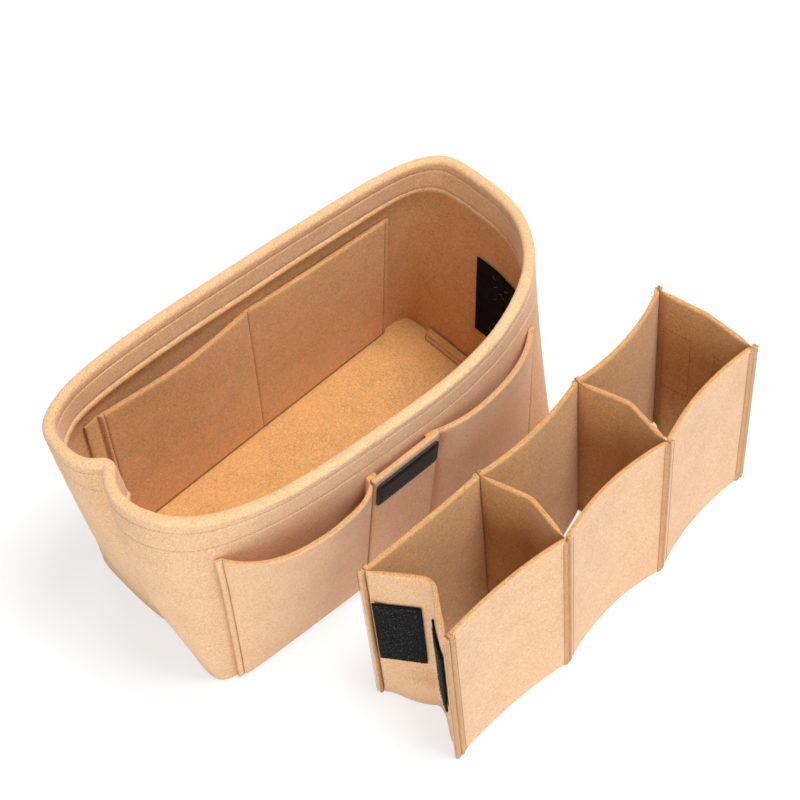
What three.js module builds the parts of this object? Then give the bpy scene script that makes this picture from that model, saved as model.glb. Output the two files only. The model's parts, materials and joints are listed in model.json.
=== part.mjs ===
// Purse organizer insert: a felt tub with pockets, and a loose three-cell divider standing beside it.
// Millimetres, +Z up. The origin is the middle of the tub's underside, +X runs along its length
// and -Y is its front, where the two outer pockets and the label are.

import * as THREE from 'three';
import { mergeVertices } from 'three/addons/utils/BufferGeometryUtils.js';

// Felt and seams
const FELT = 3.2;
const DIVIDER_FELT = 3;
const SEAM_GAP = 0.3;

// Tub: a nearly rectangular base, and a rim that bows out in front and is round at its ends
const TUB_HEIGHT = 155;
const BASE_LENGTH = 257;
const BASE_DEPTH = 135.5;
const BASE_SLANT = 10;
const BASE_SQUARENESS = 16;
const RIM_CENTRE_X = 2;
const RIM_CENTRE_Y = 4.25;
const RIM_RIGHT_FLARE = 14.5;
const RIM_LEFT_FLARE = 16.5;
const RIM_BACK_FLARE = -15;
const RIM_FRONT_FLARE = 29.5;
const RIM_SQUARENESS = { backRight: 4.7, backLeft: 3.5, frontLeft: 3.35, frontRight: 2.3 };

// Left end: the gusset is pushed in along one upright fold, and bellies out on both sides of it
const END_FOLD_RIM_DEPTH = 11;
const END_FOLD_BASE_DEPTH = 8;
const END_FOLD_RIM_Y = -14.8;
const END_FOLD_BASE_Y = -23.8;
const END_FOLD_REACH = 15;
const END_FRONT_BELLY = 14;
const END_BACK_BELLY = 3;

// Turned hem along the rim, and the rolled seams across the floor's two ends
const HEM_DEPTH = 25;
const WELT_HEIGHT = 6;
const WELT_WIDTH = 6;
const WELT_LENGTH = 84;

// Pockets: one panel inside the back wall, one pleated strip outside the front wall
const INNER_POCKET_DROP = 13;
const INNER_POCKET_INSET = 23.5;
const INNER_POCKET_LEFT_GAPE = 6;
const INNER_POCKET_RIGHT_GAPE = 1.5;
const INNER_POCKET_LIFT = 1;
const FRONT_POCKET_DROP = 30;
const FRONT_POCKET_LIFT = 2;
const FRONT_POCKET_LEFT_INSET = 11.5;
const FRONT_POCKET_RIGHT_INSET = 27.5;
const FRONT_POCKET_FULLNESS = 2.6;
const LABEL_PANEL_LEFT_X = -30;
const LABEL_PANEL_RIGHT_X = 14;
const PLEAT_TUCK = 5;
const LEFT_POCKET_BELLY = 15;
const RIGHT_POCKET_BELLY = 7;

// Leather label on the panel between the front pockets
const LABEL_SIDE_MARGIN = 1.5;
const LABEL_HEIGHT = 20;
const LABEL_THICKNESS = 2;
const LABEL_TOP_MARGIN = 6;

// Hook and loop tape
const TAPE_THICKNESS = 1.4;
const TAPE_GAP = 0.4;
const LOOP_WIDTH = 25;
const LOOP_LENGTH = 57;
const LOOP_DROP = 33;
const LOOP_GAP = 3;
const LOOP_CENTRE_Y = -20.8;
const HOOK_LENGTH = 51;
const HOOK_DROP = 25;
const HOOK_CREASE_MARGIN = 7;
const HOOK_SEAM_MARGINS = { left_end: 0.8, right_end: 2.4 };

// Divider: where its first back seam stands, and how its row of cells runs from there
const DIVIDER_X = -63.3;
const DIVIDER_STAND_OFF = 29.75;
const DIVIDER_YAW = THREE.MathUtils.degToRad(3.9);
const DIVIDER_HEIGHT = 115;
const CELLS = 3;
const CELL_LENGTH = 80.5;
const ROW_HEADING = THREE.MathUtils.degToRad(-0.7);
const ROW_TURN = THREE.MathUtils.degToRad(4.2);
const ROW_GAP_LEFT = 61;
const ROW_GAP_RIGHT = 68.5;
const BACK_PANEL_BOWS = [0.5, 4, 5.5];
const FRONT_PANEL_BOWS = [3, 5.5, 4.5];
const FLANGE_DEPTH = 1.9;
const CREASE_REACHES = [19, 7, 7, 3];
const CREASE_TAPER = 3;
const CREASE_EDGE = 0.2;
const CREASE_GAP = 0.6;
const LEAF_TAIL = 0.4;
const TAB_SHORTFALL = 0.8;
const OPEN_SEAM_CLEARANCES = { left_end: 2, partition_1: 1, right_end: 2 };
const WALL_NAMES = ['left_end', 'partition_1', 'partition_2', 'right_end'];

// Angle step for measuring the outline's direction, and how a search along it starts and narrows
const OUTLINE_STEP = 1e-3;
const SEARCH_MARGIN = 0.4;
const SEARCH_HALVINGS = 40;
const QUARTER = Math.PI / 2;
const EIGHTH = Math.PI / 4;

// Facets: rows up a tall sheet, and columns or steps along each curved piece
const TALL_ROWS = 6;
const SHORT_ROWS = 2;
const WELT_COLUMNS = 28;
const INNER_POCKET_COLUMNS = 20;
const FRONT_POCKET_COLUMNS = 13;
const LABEL_PANEL_COLUMNS = 6;
const LABEL_COLUMNS = 8;
const LOOP_COLUMNS = 12;
const BOW_STEPS = 10;

// Walls of the tub in order round it: the turns where each starts and ends, and its facets
const WALLS = [
  { name: 'right_end_wall', start: -EIGHTH, end: EIGHTH, columns: 30, rows: 6 },
  { name: 'back_wall', start: EIGHTH, end: 3 * EIGHTH, columns: 20, rows: 6 },
  { name: 'left_end_wall', start: 3 * EIGHTH, end: 5 * EIGHTH, columns: 48, rows: 12 },
  { name: 'front_wall', start: 5 * EIGHTH, end: 7 * EIGHTH, columns: 24, rows: 6 },
];

const feltFinish = new THREE.MeshStandardMaterial({ color: 0xe2b98d, roughness: 0.95, metalness: 0 });
const hemFinish = new THREE.MeshStandardMaterial({ color: 0xd9ab78, roughness: 0.95, metalness: 0 });
const tapeFinish = new THREE.MeshStandardMaterial({ color: 0x17161a, roughness: 0.9, metalness: 0 });
const labelFinish = new THREE.MeshStandardMaterial({ color: 0x141213, roughness: 0.45, metalness: 0 });

const lerp = THREE.MathUtils.lerp;

/** Named mesh of one piece. */
function piece(name, geometry, finish) {
  geometry.computeVertexNormals();
  const mesh = new THREE.Mesh(geometry, finish);
  mesh.name = name;
  return mesh;
}

/** Closed body whose corners are carried one by one, each (x, y, z) to place(x, y, z). */
function moulded(source, place) {
  source.deleteAttribute('normal');
  source.deleteAttribute('uv');
  const geometry = mergeVertices(source);
  const corners = geometry.attributes.position;
  for (let i = 0; i < corners.count; i += 1) {
    const spot = place(corners.getX(i), corners.getY(i), corners.getZ(i));
    corners.setXYZ(i, spot.x, spot.y, spot.z);
  }
  return geometry;
}

/** Closed sheet: place(along, up, face) carries each corner of a divided unit box to its place. */
function sheet(columns, rows, place) {
  const box = new THREE.BoxGeometry(1, 1, 1, columns, rows, 1).translate(0.5, 0.5, 0.5);
  return moulded(box, place);
}

/** Full-height piece of the divider with the given closed plan outline. */
function upright(points) {
  const settings = { depth: DIVIDER_HEIGHT, bevelEnabled: false, steps: 1 };
  return new THREE.ExtrudeGeometry(new THREE.Shape(points), settings);
}

/** Distance from the middle of a unit rounded square, of the given squareness, to its edge. */
function squareReach(turn, squareness) {
  const sum = Math.abs(Math.cos(turn)) ** squareness + Math.abs(Math.sin(turn)) ** squareness;
  return sum ** (-1 / squareness);
}

/** Outer edge of the base at a turn round the tub. */
function basePoint(turn) {
  const reach = squareReach(turn, BASE_SQUARENESS);
  const along = Math.cos(turn) * reach;
  const across = Math.sin(turn) * reach;
  const slant = across > 0 ? BASE_SLANT * along : 0;
  return new THREE.Vector2((along * BASE_LENGTH) / 2, across * (BASE_DEPTH / 2 + slant));
}

// How far the rim reaches from its middle on each side: the base's edge and the flare of the wall there
const rimRight = BASE_LENGTH / 2 + RIM_RIGHT_FLARE - RIM_CENTRE_X;
const rimLeft = BASE_LENGTH / 2 + RIM_LEFT_FLARE + RIM_CENTRE_X;
const rimBack = BASE_DEPTH / 2 + RIM_BACK_FLARE - RIM_CENTRE_Y;
const rimFront = BASE_DEPTH / 2 + RIM_FRONT_FLARE + RIM_CENTRE_Y;

/** Outer edge of the rim at a turn round the tub. */
function rimPoint(turn) {
  const toRight = Math.cos(turn) >= 0;
  const toBack = Math.sin(turn) >= 0;
  const side = toRight ? 'Right' : 'Left';
  const reach = squareReach(turn, RIM_SQUARENESS[(toBack ? 'back' : 'front') + side]);
  const x = Math.cos(turn) * reach * (toRight ? rimRight : rimLeft);
  const y = Math.sin(turn) * reach * (toBack ? rimBack : rimFront);
  return new THREE.Vector2(RIM_CENTRE_X + x, RIM_CENTRE_Y + y);
}

/** Outer outline of the tub at a turn, between base (rise 0) and rim (rise 1). */
function outline(turn, rise) {
  const point = basePoint(turn).lerp(rimPoint(turn), rise);
  const leftness = Math.max(0, -Math.cos(turn)) ** 2;
  const foldY = lerp(END_FOLD_BASE_Y, END_FOLD_RIM_Y, rise);
  const foldDepth = lerp(END_FOLD_BASE_DEPTH, END_FOLD_RIM_DEPTH, rise);
  const belly = (point.y < foldY ? END_FRONT_BELLY : END_BACK_BELLY) * Math.sin(Math.PI * rise);
  const fold = Math.exp(-(((point.y - foldY) / END_FOLD_REACH) ** 2));
  point.x += leftness * ((foldDepth + belly) * fold - belly);
  return point;
}

/** Point of the tub's wall at a turn and height, set in from the outer face by depth. */
function wallPoint(turn, z, depth) {
  const rise = z / TUB_HEIGHT;
  const here = outline(turn, rise);
  const along = outline(turn + OUTLINE_STEP, rise).sub(outline(turn - OUTLINE_STEP, rise)).normalize();
  return new THREE.Vector3(here.x - along.y * depth, here.y + along.x * depth, z);
}

/** Turn between two turns at which the outline crosses a value of x or y. */
function turnWhere(axis, value, z, start, end) {
  const rise = z / TUB_HEIGHT;
  const rising = outline(end, rise)[axis] > outline(start, rise)[axis];
  let low = start;
  let high = end;
  for (let i = 0; i < SEARCH_HALVINGS; i += 1) {
    const middle = (low + high) / 2;
    if (outline(middle, rise)[axis] < value === rising) low = middle;
    else high = middle;
  }
  return (low + high) / 2;
}

const frontTurn = (x, z) => turnWhere('x', x, z, 2 * QUARTER + SEARCH_MARGIN, 4 * QUARTER - SEARCH_MARGIN);
const backTurn = (x, z) => turnWhere('x', x, z, SEARCH_MARGIN, 2 * QUARTER - SEARCH_MARGIN);
const rightTurn = (y, z) => turnWhere('y', y, z, -EIGHTH, EIGHTH);
const leftTurn = (y, z) => turnWhere('y', y, z, 3 * EIGHTH, 5 * EIGHTH);

/** Wall of the tub between two turns, up to the underside of the turned hem. */
function tubWall({ start, end, columns, rows }) {
  const trim = SEAM_GAP / BASE_DEPTH;
  const top = TUB_HEIGHT - FELT - SEAM_GAP;
  return sheet(columns, rows, (along, up, face) =>
    wallPoint(lerp(start + trim, end - trim, along), top * up, (1 - face) * FELT));
}

/** Turns of all the walls' columns, once round the tub. */
function wallTurns() {
  const turns = [];
  for (const { start, end, columns } of WALLS) {
    for (let i = 0; i < columns; i += 1) turns.push(lerp(start, end, i / columns));
  }
  return turns;
}

/** Floor between the walls: a disc whose rim is carried out to their inner face. */
function basePanel() {
  const turns = wallTurns();
  const disc = new THREE.CylinderGeometry(1, 1, FELT, turns.length).rotateX(QUARTER);
  return moulded(disc, (x, y, z) => {
    const isRim = Math.round(Math.hypot(x, y)) === 1;
    if (!isRim) return new THREE.Vector3(0, 0, z + FELT / 2);
    const station = Math.round((Math.atan2(y, x) / (4 * QUARTER)) * turns.length) + turns.length;
    const spot = wallPoint(turns[station % turns.length], 0, FELT + 2 * SEAM_GAP);
    return spot.setZ(z + FELT / 2);
  });
}

/** Hem turned over the rim: a cap on the walls' top edges and a leg down their inner face. */
function rimHem() {
  const turns = wallTurns();
  const round = FELT / 3;
  const foot = TUB_HEIGHT - HEM_DEPTH;
  const capFoot = TUB_HEIGHT - FELT;
  const inner = 2 * FELT + SEAM_GAP;
  const section = [
    [0, capFoot], [FELT + SEAM_GAP, capFoot], [FELT + SEAM_GAP, foot], [inner, foot],
    [inner, TUB_HEIGHT - round], [inner - round, TUB_HEIGHT], [round, TUB_HEIGHT], [0, TUB_HEIGHT - round],
  ];
  const corners = [];
  const faces = [];
  const count = section.length;
  turns.forEach((turn, i) => {
    const next = (i + 1) % turns.length;
    section.forEach(([depth, z], j) => {
      const beside = (j + 1) % count;
      corners.push(...wallPoint(turn, z, depth).toArray());
      faces.push(i * count + j, next * count + beside, next * count + j);
      faces.push(i * count + j, i * count + beside, next * count + beside);
    });
  });
  const geometry = new THREE.BufferGeometry();
  geometry.setAttribute('position', new THREE.Float32BufferAttribute(corners, 3));
  geometry.setIndex(faces);
  return geometry;
}

/** Rolled seam across one end of the floor. */
function floorWelt(endTurn) {
  const foot = FELT + SEAM_GAP;
  const half = Math.atan(WELT_LENGTH / BASE_DEPTH);
  return sheet(WELT_COLUMNS, SHORT_ROWS, (along, up, face) => {
    const slope = up * (1 - face) * (WELT_WIDTH / 2);
    const depth = FELT + 2 * SEAM_GAP + (1 - face) * WELT_WIDTH - slope;
    return wallPoint(endTurn + lerp(-half, half, along), foot + up * WELT_HEIGHT, depth);
  });
}

/** Pocket panel inside the back wall, sewn at its sides, foot and middle, with two gaping mouths. */
function innerPocket() {
  const foot = FELT + SEAM_GAP + INNER_POCKET_LIFT;
  const top = TUB_HEIGHT - HEM_DEPTH - INNER_POCKET_DROP;
  const half = BASE_LENGTH / 2 - INNER_POCKET_INSET;
  return sheet(INNER_POCKET_COLUMNS, TALL_ROWS, (along, up, face) => {
    const z = lerp(foot, top, up);
    const widest = along < 0.5 ? INNER_POCKET_RIGHT_GAPE : INNER_POCKET_LEFT_GAPE;
    const gape = widest * Math.sin(2 * Math.PI * along) ** 2 * up;
    const depth = FELT + SEAM_GAP + gape + (1 - face) * FELT;
    return wallPoint(backTurn(lerp(half, -half, along), z), z, depth);
  });
}

/** Sheet of the front pocket strip through the given x stops, off the wall by standOff(stop, up). */
function frontStrip(stops, standOff) {
  const columns = stops.length - 1;
  return sheet(columns, TALL_ROWS, (along, up, face) => {
    const stop = Math.round(along * columns);
    const z = lerp(FRONT_POCKET_LIFT, TUB_HEIGHT - FRONT_POCKET_DROP, up);
    return wallPoint(frontTurn(stops[stop], z), z, -(standOff(stop, up) + face * FELT));
  });
}

/** Front pocket, tucked flat under the label panel on one side and bellied out towards its mouth. */
function frontPocket(tuckX, panelX, outerX, belly) {
  const spans = [...Array(FRONT_POCKET_COLUMNS + 1).keys()].map((i) => i / FRONT_POCKET_COLUMNS);
  const toRight = outerX > panelX;
  const mouthX = panelX + (toRight ? SEAM_GAP : -SEAM_GAP);
  const stops = [tuckX, ...spans.map((span) => lerp(mouthX, outerX, span))];
  const swellAt = (span) => belly * (1 - Math.abs(2 * span - 1) ** FRONT_POCKET_FULLNESS);
  const swells = [0, ...spans.map(swellAt)];
  if (!toRight) stops.reverse();
  if (!toRight) swells.reverse();
  return frontStrip(stops, (stop, up) => SEAM_GAP + swells[stop] * up);
}

/** Panel between the two front pockets, over their tucked edges. */
function frontLabelPanel() {
  const stops = [...Array(LABEL_PANEL_COLUMNS + 1).keys()].map((i) =>
    lerp(LABEL_PANEL_LEFT_X, LABEL_PANEL_RIGHT_X, i / LABEL_PANEL_COLUMNS));
  return frontStrip(stops, () => FELT + 2 * SEAM_GAP);
}

/** Leather label on the panel between the pockets. */
function labelPatch() {
  const left = LABEL_PANEL_LEFT_X + LABEL_SIDE_MARGIN;
  const right = LABEL_PANEL_RIGHT_X - LABEL_SIDE_MARGIN;
  const top = TUB_HEIGHT - FRONT_POCKET_DROP - LABEL_TOP_MARGIN;
  const standOff = 2 * FELT + 3 * SEAM_GAP;
  return sheet(LABEL_COLUMNS, SHORT_ROWS, (along, up, face) => {
    const x = lerp(left, right, along);
    const z = top - LABEL_HEIGHT * (1 - up);
    return wallPoint(frontTurn(x, z), z, -(standOff + face * LABEL_THICKNESS));
  });
}

/** Strip of loop tape inside an end wall; its side with the greater turn comes last. */
function loopPatch(turnAt, startY, endY) {
  const top = TUB_HEIGHT - HEM_DEPTH - LOOP_DROP;
  return sheet(LOOP_COLUMNS, TALL_ROWS, (along, up, face) => {
    const z = top - LOOP_LENGTH * (1 - up);
    const depth = FELT + TAPE_GAP + (1 - face) * TAPE_THICKNESS;
    return wallPoint(turnAt(lerp(startY, endY, along), z), z, depth);
  });
}

const tub = new THREE.Group();
tub.add(piece('base_panel', basePanel(), feltFinish));
for (const wall of WALLS) tub.add(piece(wall.name, tubWall(wall), feltFinish));
tub.add(piece('rim_hem', rimHem(), hemFinish));
tub.add(piece('right_floor_welt', floorWelt(0), feltFinish));
tub.add(piece('left_floor_welt', floorWelt(2 * QUARTER), feltFinish));
tub.add(piece('inner_pocket', innerPocket(), feltFinish));

const leftTuckX = LABEL_PANEL_LEFT_X + PLEAT_TUCK;
const rightTuckX = LABEL_PANEL_RIGHT_X - PLEAT_TUCK;
const leftEdgeX = FRONT_POCKET_LEFT_INSET - BASE_LENGTH / 2;
const rightEdgeX = BASE_LENGTH / 2 - FRONT_POCKET_RIGHT_INSET;
const leftPocket = frontPocket(leftTuckX, LABEL_PANEL_LEFT_X, leftEdgeX, LEFT_POCKET_BELLY);
const rightPocket = frontPocket(rightTuckX, LABEL_PANEL_RIGHT_X, rightEdgeX, RIGHT_POCKET_BELLY);
tub.add(piece('front_pocket_left', leftPocket, feltFinish));
tub.add(piece('label_panel', frontLabelPanel(), feltFinish));
tub.add(piece('front_pocket_right', rightPocket, feltFinish));
tub.add(piece('label_patch', labelPatch(), labelFinish));

const loopLows = { back: LOOP_CENTRE_Y + LOOP_GAP / 2, front: LOOP_CENTRE_Y - LOOP_GAP / 2 - LOOP_WIDTH };
for (const [place, low] of Object.entries(loopLows)) {
  const high = low + LOOP_WIDTH;
  tub.add(piece('right_loop_' + place, loopPatch(rightTurn, low, high), tapeFinish));
  tub.add(piece('left_loop_' + place, loopPatch(leftTurn, high, low), tapeFinish));
}

// The divider is laid out in its own plan: x along the first cell, y from the front row to the back row.
const seamDepth = FLANGE_DEPTH + DIVIDER_FELT / 2;
const backSeams = [new THREE.Vector2(0, 0)];
for (let i = 0; i < CELLS; i += 1) {
  const heading = ROW_HEADING + i * ROW_TURN;
  const step = new THREE.Vector2(Math.cos(heading), Math.sin(heading)).multiplyScalar(CELL_LENGTH);
  backSeams.push(backSeams[i].clone().add(step));
}
const rowGap = (i) => lerp(ROW_GAP_LEFT, ROW_GAP_RIGHT, i / CELLS);
const frontSeams = backSeams.map((seam, i) => new THREE.Vector2(seam.x, seam.y - rowGap(i)));

/** Plan outline of a felt sheet that follows a line of points. */
function thickened(line, thickness) {
  const sides = [[], []];
  line.forEach((point, i) => {
    const before = line[Math.max(i - 1, 0)];
    const after = line[Math.min(i + 1, line.length - 1)];
    const arriving = point.clone().sub(before).normalize();
    const leaving = after.clone().sub(point).normalize();
    const along = arriving.add(leaving).normalize();
    const across = new THREE.Vector2(-along.y, along.x).multiplyScalar(thickness / 2);
    sides[0].push(point.clone().sub(across));
    sides[1].push(point.clone().add(across));
  });
  return [...sides[0], ...sides[1].reverse()];
}

/** Panel of one cell between two seams, with a flange turned out at each; inward is +1 or -1 along y. */
function cellPanel(start, end, inward, bow) {
  const beside = (SEAM_GAP + DIVIDER_FELT) / 2;
  const into = new THREE.Vector2(0, inward);
  const at = (seam, side, depth) => new THREE.Vector2(seam.x + side * beside, seam.y + inward * depth);
  const corner = at(start, 1, FLANGE_DEPTH);
  const farCorner = at(end, -1, FLANGE_DEPTH);
  const line = [at(start, 1, 0), corner];
  for (let i = 1; i < BOW_STEPS; i += 1) {
    const swell = bow * (1 - ((2 * i) / BOW_STEPS - 1) ** 2);
    line.push(corner.clone().lerp(farCorner, i / BOW_STEPS).addScaledVector(into, swell));
  }
  line.push(farCorner, at(end, -1, 0));
  return upright(thickened(line, DIVIDER_FELT));
}

/** Half of a cross wall, lying along +X from its hinge, thinned at both ends where the felt bends. */
function wallLeaf(tail, length) {
  const full = DIVIDER_FELT / 2;
  const edge = CREASE_EDGE / 2;
  const line = [[-tail, edge], [CREASE_TAPER, full], [length - CREASE_TAPER, full], [length, edge]];
  const below = line.map(([x, y]) => new THREE.Vector2(x, -y));
  const above = line.map(([x, y]) => new THREE.Vector2(x, y)).reverse();
  return upright([...below, ...above]);
}

/** Strip of hook tape on a leaf, along +X between two places; side picks the face. */
function hookPatch(start, end, side) {
  const geometry = new THREE.BoxGeometry(end - start, TAPE_THICKNESS, HOOK_LENGTH);
  const off = side * (DIVIDER_FELT / 2 + TAPE_GAP + TAPE_THICKNESS / 2);
  return geometry.translate((start + end) / 2, off, DIVIDER_HEIGHT - HOOK_DROP - HOOK_LENGTH / 2);
}

/** Tab of an end wall, sewn to the flange of the cell panel beside it. */
function seamTab(seam, side, inward) {
  const length = seamDepth - TAB_SHORTFALL;
  const geometry = new THREE.BoxGeometry(DIVIDER_FELT, length, DIVIDER_HEIGHT);
  const x = seam.x + (side * (SEAM_GAP + DIVIDER_FELT)) / 2;
  return geometry.translate(x, seam.y + (inward * length) / 2, DIVIDER_HEIGHT / 2);
}

const divider = new THREE.Group();
divider.position.set(DIVIDER_X, RIM_CENTRE_Y - rimFront - DIVIDER_STAND_OFF, 0);
divider.rotation.z = DIVIDER_YAW;

for (let i = 0; i < CELLS; i += 1) {
  const number = String(i + 1);
  const back = cellPanel(backSeams[i], backSeams[i + 1], -1, BACK_PANEL_BOWS[i]);
  const front = cellPanel(frontSeams[i], frontSeams[i + 1], 1, FRONT_PANEL_BOWS[i]);
  divider.add(piece('back_panel_' + number, back, feltFinish));
  divider.add(piece('front_panel_' + number, front, feltFinish));
}

WALL_NAMES.forEach((name, i) => {
  const chord = rowGap(i) - 2 * seamDepth;
  const reach = CREASE_REACHES[i];
  const length = Math.hypot(chord / 2, reach);
  const lean = Math.atan2(reach, chord / 2);
  const hinge = new THREE.Vector3(backSeams[i].x, backSeams[i].y - seamDepth, 0);
  const crease = new THREE.Vector3(hinge.x + reach, hinge.y - chord / 2, 0);
  // The one wall without a clearance carries the front row
  const frontEnd = length - (OPEN_SEAM_CLEARANCES[name] ?? -LEAF_TAIL);

  const backLeaf = piece(name + '_back_leaf', wallLeaf(LEAF_TAIL, length - CREASE_GAP / 2), feltFinish);
  backLeaf.position.copy(hinge);
  backLeaf.rotation.z = lean - QUARTER;
  const frontLeaf = piece(name + '_front_leaf', wallLeaf(-CREASE_GAP / 2, frontEnd), feltFinish);
  frontLeaf.position.copy(crease);
  frontLeaf.rotation.z = -lean - QUARTER;
  divider.add(backLeaf, frontLeaf);

  const outer = { left_end: -1, right_end: 1 }[name];
  if (outer === undefined) return;
  divider.add(piece(name + '_back_tab', seamTab(backSeams[i], outer, -1), feltFinish));
  divider.add(piece(name + '_front_tab', seamTab(frontSeams[i], outer, 1), feltFinish));
  const margin = HOOK_SEAM_MARGINS[name];
  const backHook = hookPatch(margin, length - HOOK_CREASE_MARGIN, outer);
  const frontHook = hookPatch(HOOK_CREASE_MARGIN, length - margin, outer);
  for (const [place, geometry, leaf] of [['back', backHook, backLeaf], ['front', frontHook, frontLeaf]]) {
    const hook = piece(name + '_' + place + '_hook', geometry, tapeFinish);
    hook.position.copy(leaf.position);
    hook.rotation.copy(leaf.rotation);
    divider.add(hook);
  }
});

const organizer = new THREE.Group();
organizer.add(tub, divider);

export default organizer;
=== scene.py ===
"""Looks of a purse organizer insert: a felt tub with pockets and the folding divider beside it.

Sizes are in millimetres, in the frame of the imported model: the origin is the middle of the tub's
underside, +X runs along the tub, -Y is its front with the two outer pockets and +Z is up.
"""

from __future__ import annotations

import json
import logging
import math
import random
from dataclasses import dataclass, field
from enum import Enum
from functools import lru_cache
from itertools import accumulate
from typing import Callable, Iterable, Iterator, Mapping, Sequence, Union

import bmesh
import bpy
from mathutils import Matrix, Vector, noise

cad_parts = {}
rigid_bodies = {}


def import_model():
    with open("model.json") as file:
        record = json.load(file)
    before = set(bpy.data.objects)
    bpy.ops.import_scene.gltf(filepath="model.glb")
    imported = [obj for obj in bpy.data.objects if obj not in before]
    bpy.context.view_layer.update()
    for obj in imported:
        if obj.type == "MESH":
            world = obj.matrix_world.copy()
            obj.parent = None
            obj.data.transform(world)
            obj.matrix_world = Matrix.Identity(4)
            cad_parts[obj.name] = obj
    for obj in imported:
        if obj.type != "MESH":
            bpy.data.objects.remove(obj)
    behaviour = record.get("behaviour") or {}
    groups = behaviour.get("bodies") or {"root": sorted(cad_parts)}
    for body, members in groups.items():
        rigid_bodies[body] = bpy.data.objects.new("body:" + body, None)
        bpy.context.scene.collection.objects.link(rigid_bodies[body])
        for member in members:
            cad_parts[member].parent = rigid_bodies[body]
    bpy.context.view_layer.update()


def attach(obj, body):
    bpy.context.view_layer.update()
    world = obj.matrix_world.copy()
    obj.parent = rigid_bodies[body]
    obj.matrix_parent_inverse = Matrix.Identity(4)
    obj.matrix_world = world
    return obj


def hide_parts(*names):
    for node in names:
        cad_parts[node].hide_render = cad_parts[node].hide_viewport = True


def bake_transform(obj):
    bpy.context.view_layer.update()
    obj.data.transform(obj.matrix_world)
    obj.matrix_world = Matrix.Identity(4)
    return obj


MM = 0.001
PHOTO_PIXELS = 800
EIGHTH = math.pi / 4
FULL = 2 * math.pi
CLOSE_STEPS = (-1.3, -0.7, -0.3, 0.0, 0.3, 0.7, 1.3)
CLOSE_LEAST = 0.35
BAND_SHARE = 0.35
WHITE = (1.0, 1.0, 1.0, 1.0)

Material = bpy.types.Material
Piece = bpy.types.Object
Colour = tuple[float, float, float]
Shade = tuple[float, float, float, float]
Place = Callable[[float, float, float], Vector]
Feed = Union["Value", bpy.types.NodeSocket, float, Sequence[float]]

log = logging.getLogger("organizer")


def lerp(start: float, end: float, share: float) -> float:
    """Value a share of the way from start to end."""
    return start + (end - start) * share


def smooth(low: float, high: float, value: float) -> float:
    """Smooth step from 0 at low to 1 at high."""
    share = min(1.0, max(0.0, (value - low) / (high - low)))
    return share * share * (3 - 2 * share)


def bump_at(value: float, middle: float, reach: float) -> float:
    """Rounded bump of height 1 at middle that fades over reach."""
    return math.exp(-(((value - middle) / reach) ** 2))


def stations(size: float, cell: float, edge: float, lines: Sequence[float] = ()) -> list[float]:
    """Places along a length, close together at both ends and at each line.

    Args:
        size: The length.
        cell: Size of the even steps.
        edge: Width of the bands at the two ends.
        lines: Places that need close steps, away from the ends.

    Returns:
        The places in order, from 0 to the length.
    """
    count = max(2, round((size - 2 * edge) / cell))
    even = [lerp(edge, size - edge, i / count) for i in range(count + 1)]
    close = [line + off for line in lines for off in CLOSE_STEPS]
    kept = [spot for spot in even if all(abs(spot - other) > CLOSE_LEAST for other in close)]
    return sorted([0.0, BAND_SHARE * edge, size - BAND_SHARE * edge, size] + kept + close)


def spans(points: Sequence[Vector]) -> list[float]:
    """Distance from each point to the next."""
    return [(after - before).length for before, after in zip(points, points[1:])]


def running(steps: Iterable[float]) -> list[float]:
    """Totals of some steps so far, from 0 on."""
    return list(accumulate(steps, initial=0.0))


def walk(totals: Sequence[float], targets: Iterable[float]) -> Iterator[tuple[int, float]]:
    """Find places along running totals.

    Args:
        totals: Totals so far, from 0 on.
        targets: Totals to find, in rising order.

    Returns:
        For each target, the number of the step that holds it and its share of that step.
    """
    index = 0
    for target in targets:
        while totals[index + 1] < target:
            index += 1
        yield index, (target - totals[index]) / (totals[index + 1] - totals[index])


def tie(piece: Piece, body: str, slot: str, *nodes: str) -> None:
    """Tie a piece to the frame.

    Args:
        piece: The piece.
        body: Body that it rides on.
        slot: Not used.
        nodes: CAD nodes that it stands for.
    """
    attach(piece, body)
    if nodes:
        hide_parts(*nodes)


def linear(colour: Colour) -> Shade:
    """Shader colour of a colour given as display values from 0 to 255.

    Args:
        colour: Red, green and blue as a picture shows them.

    Returns:
        The linear red, green and blue with an alpha of 1.
    """
    shares = [part / 255 for part in colour]
    red, green, blue = (s / 12.92 if s <= 0.04045 else ((s + 0.055) / 1.055) ** 2.4 for s in shares)
    return red, green, blue, 1.0


def darker(colour: Colour, share: float) -> Shade:
    """Shader colour of a display colour, darkened to a share of its values."""
    return linear(tuple(round(share * part) for part in colour))


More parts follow.
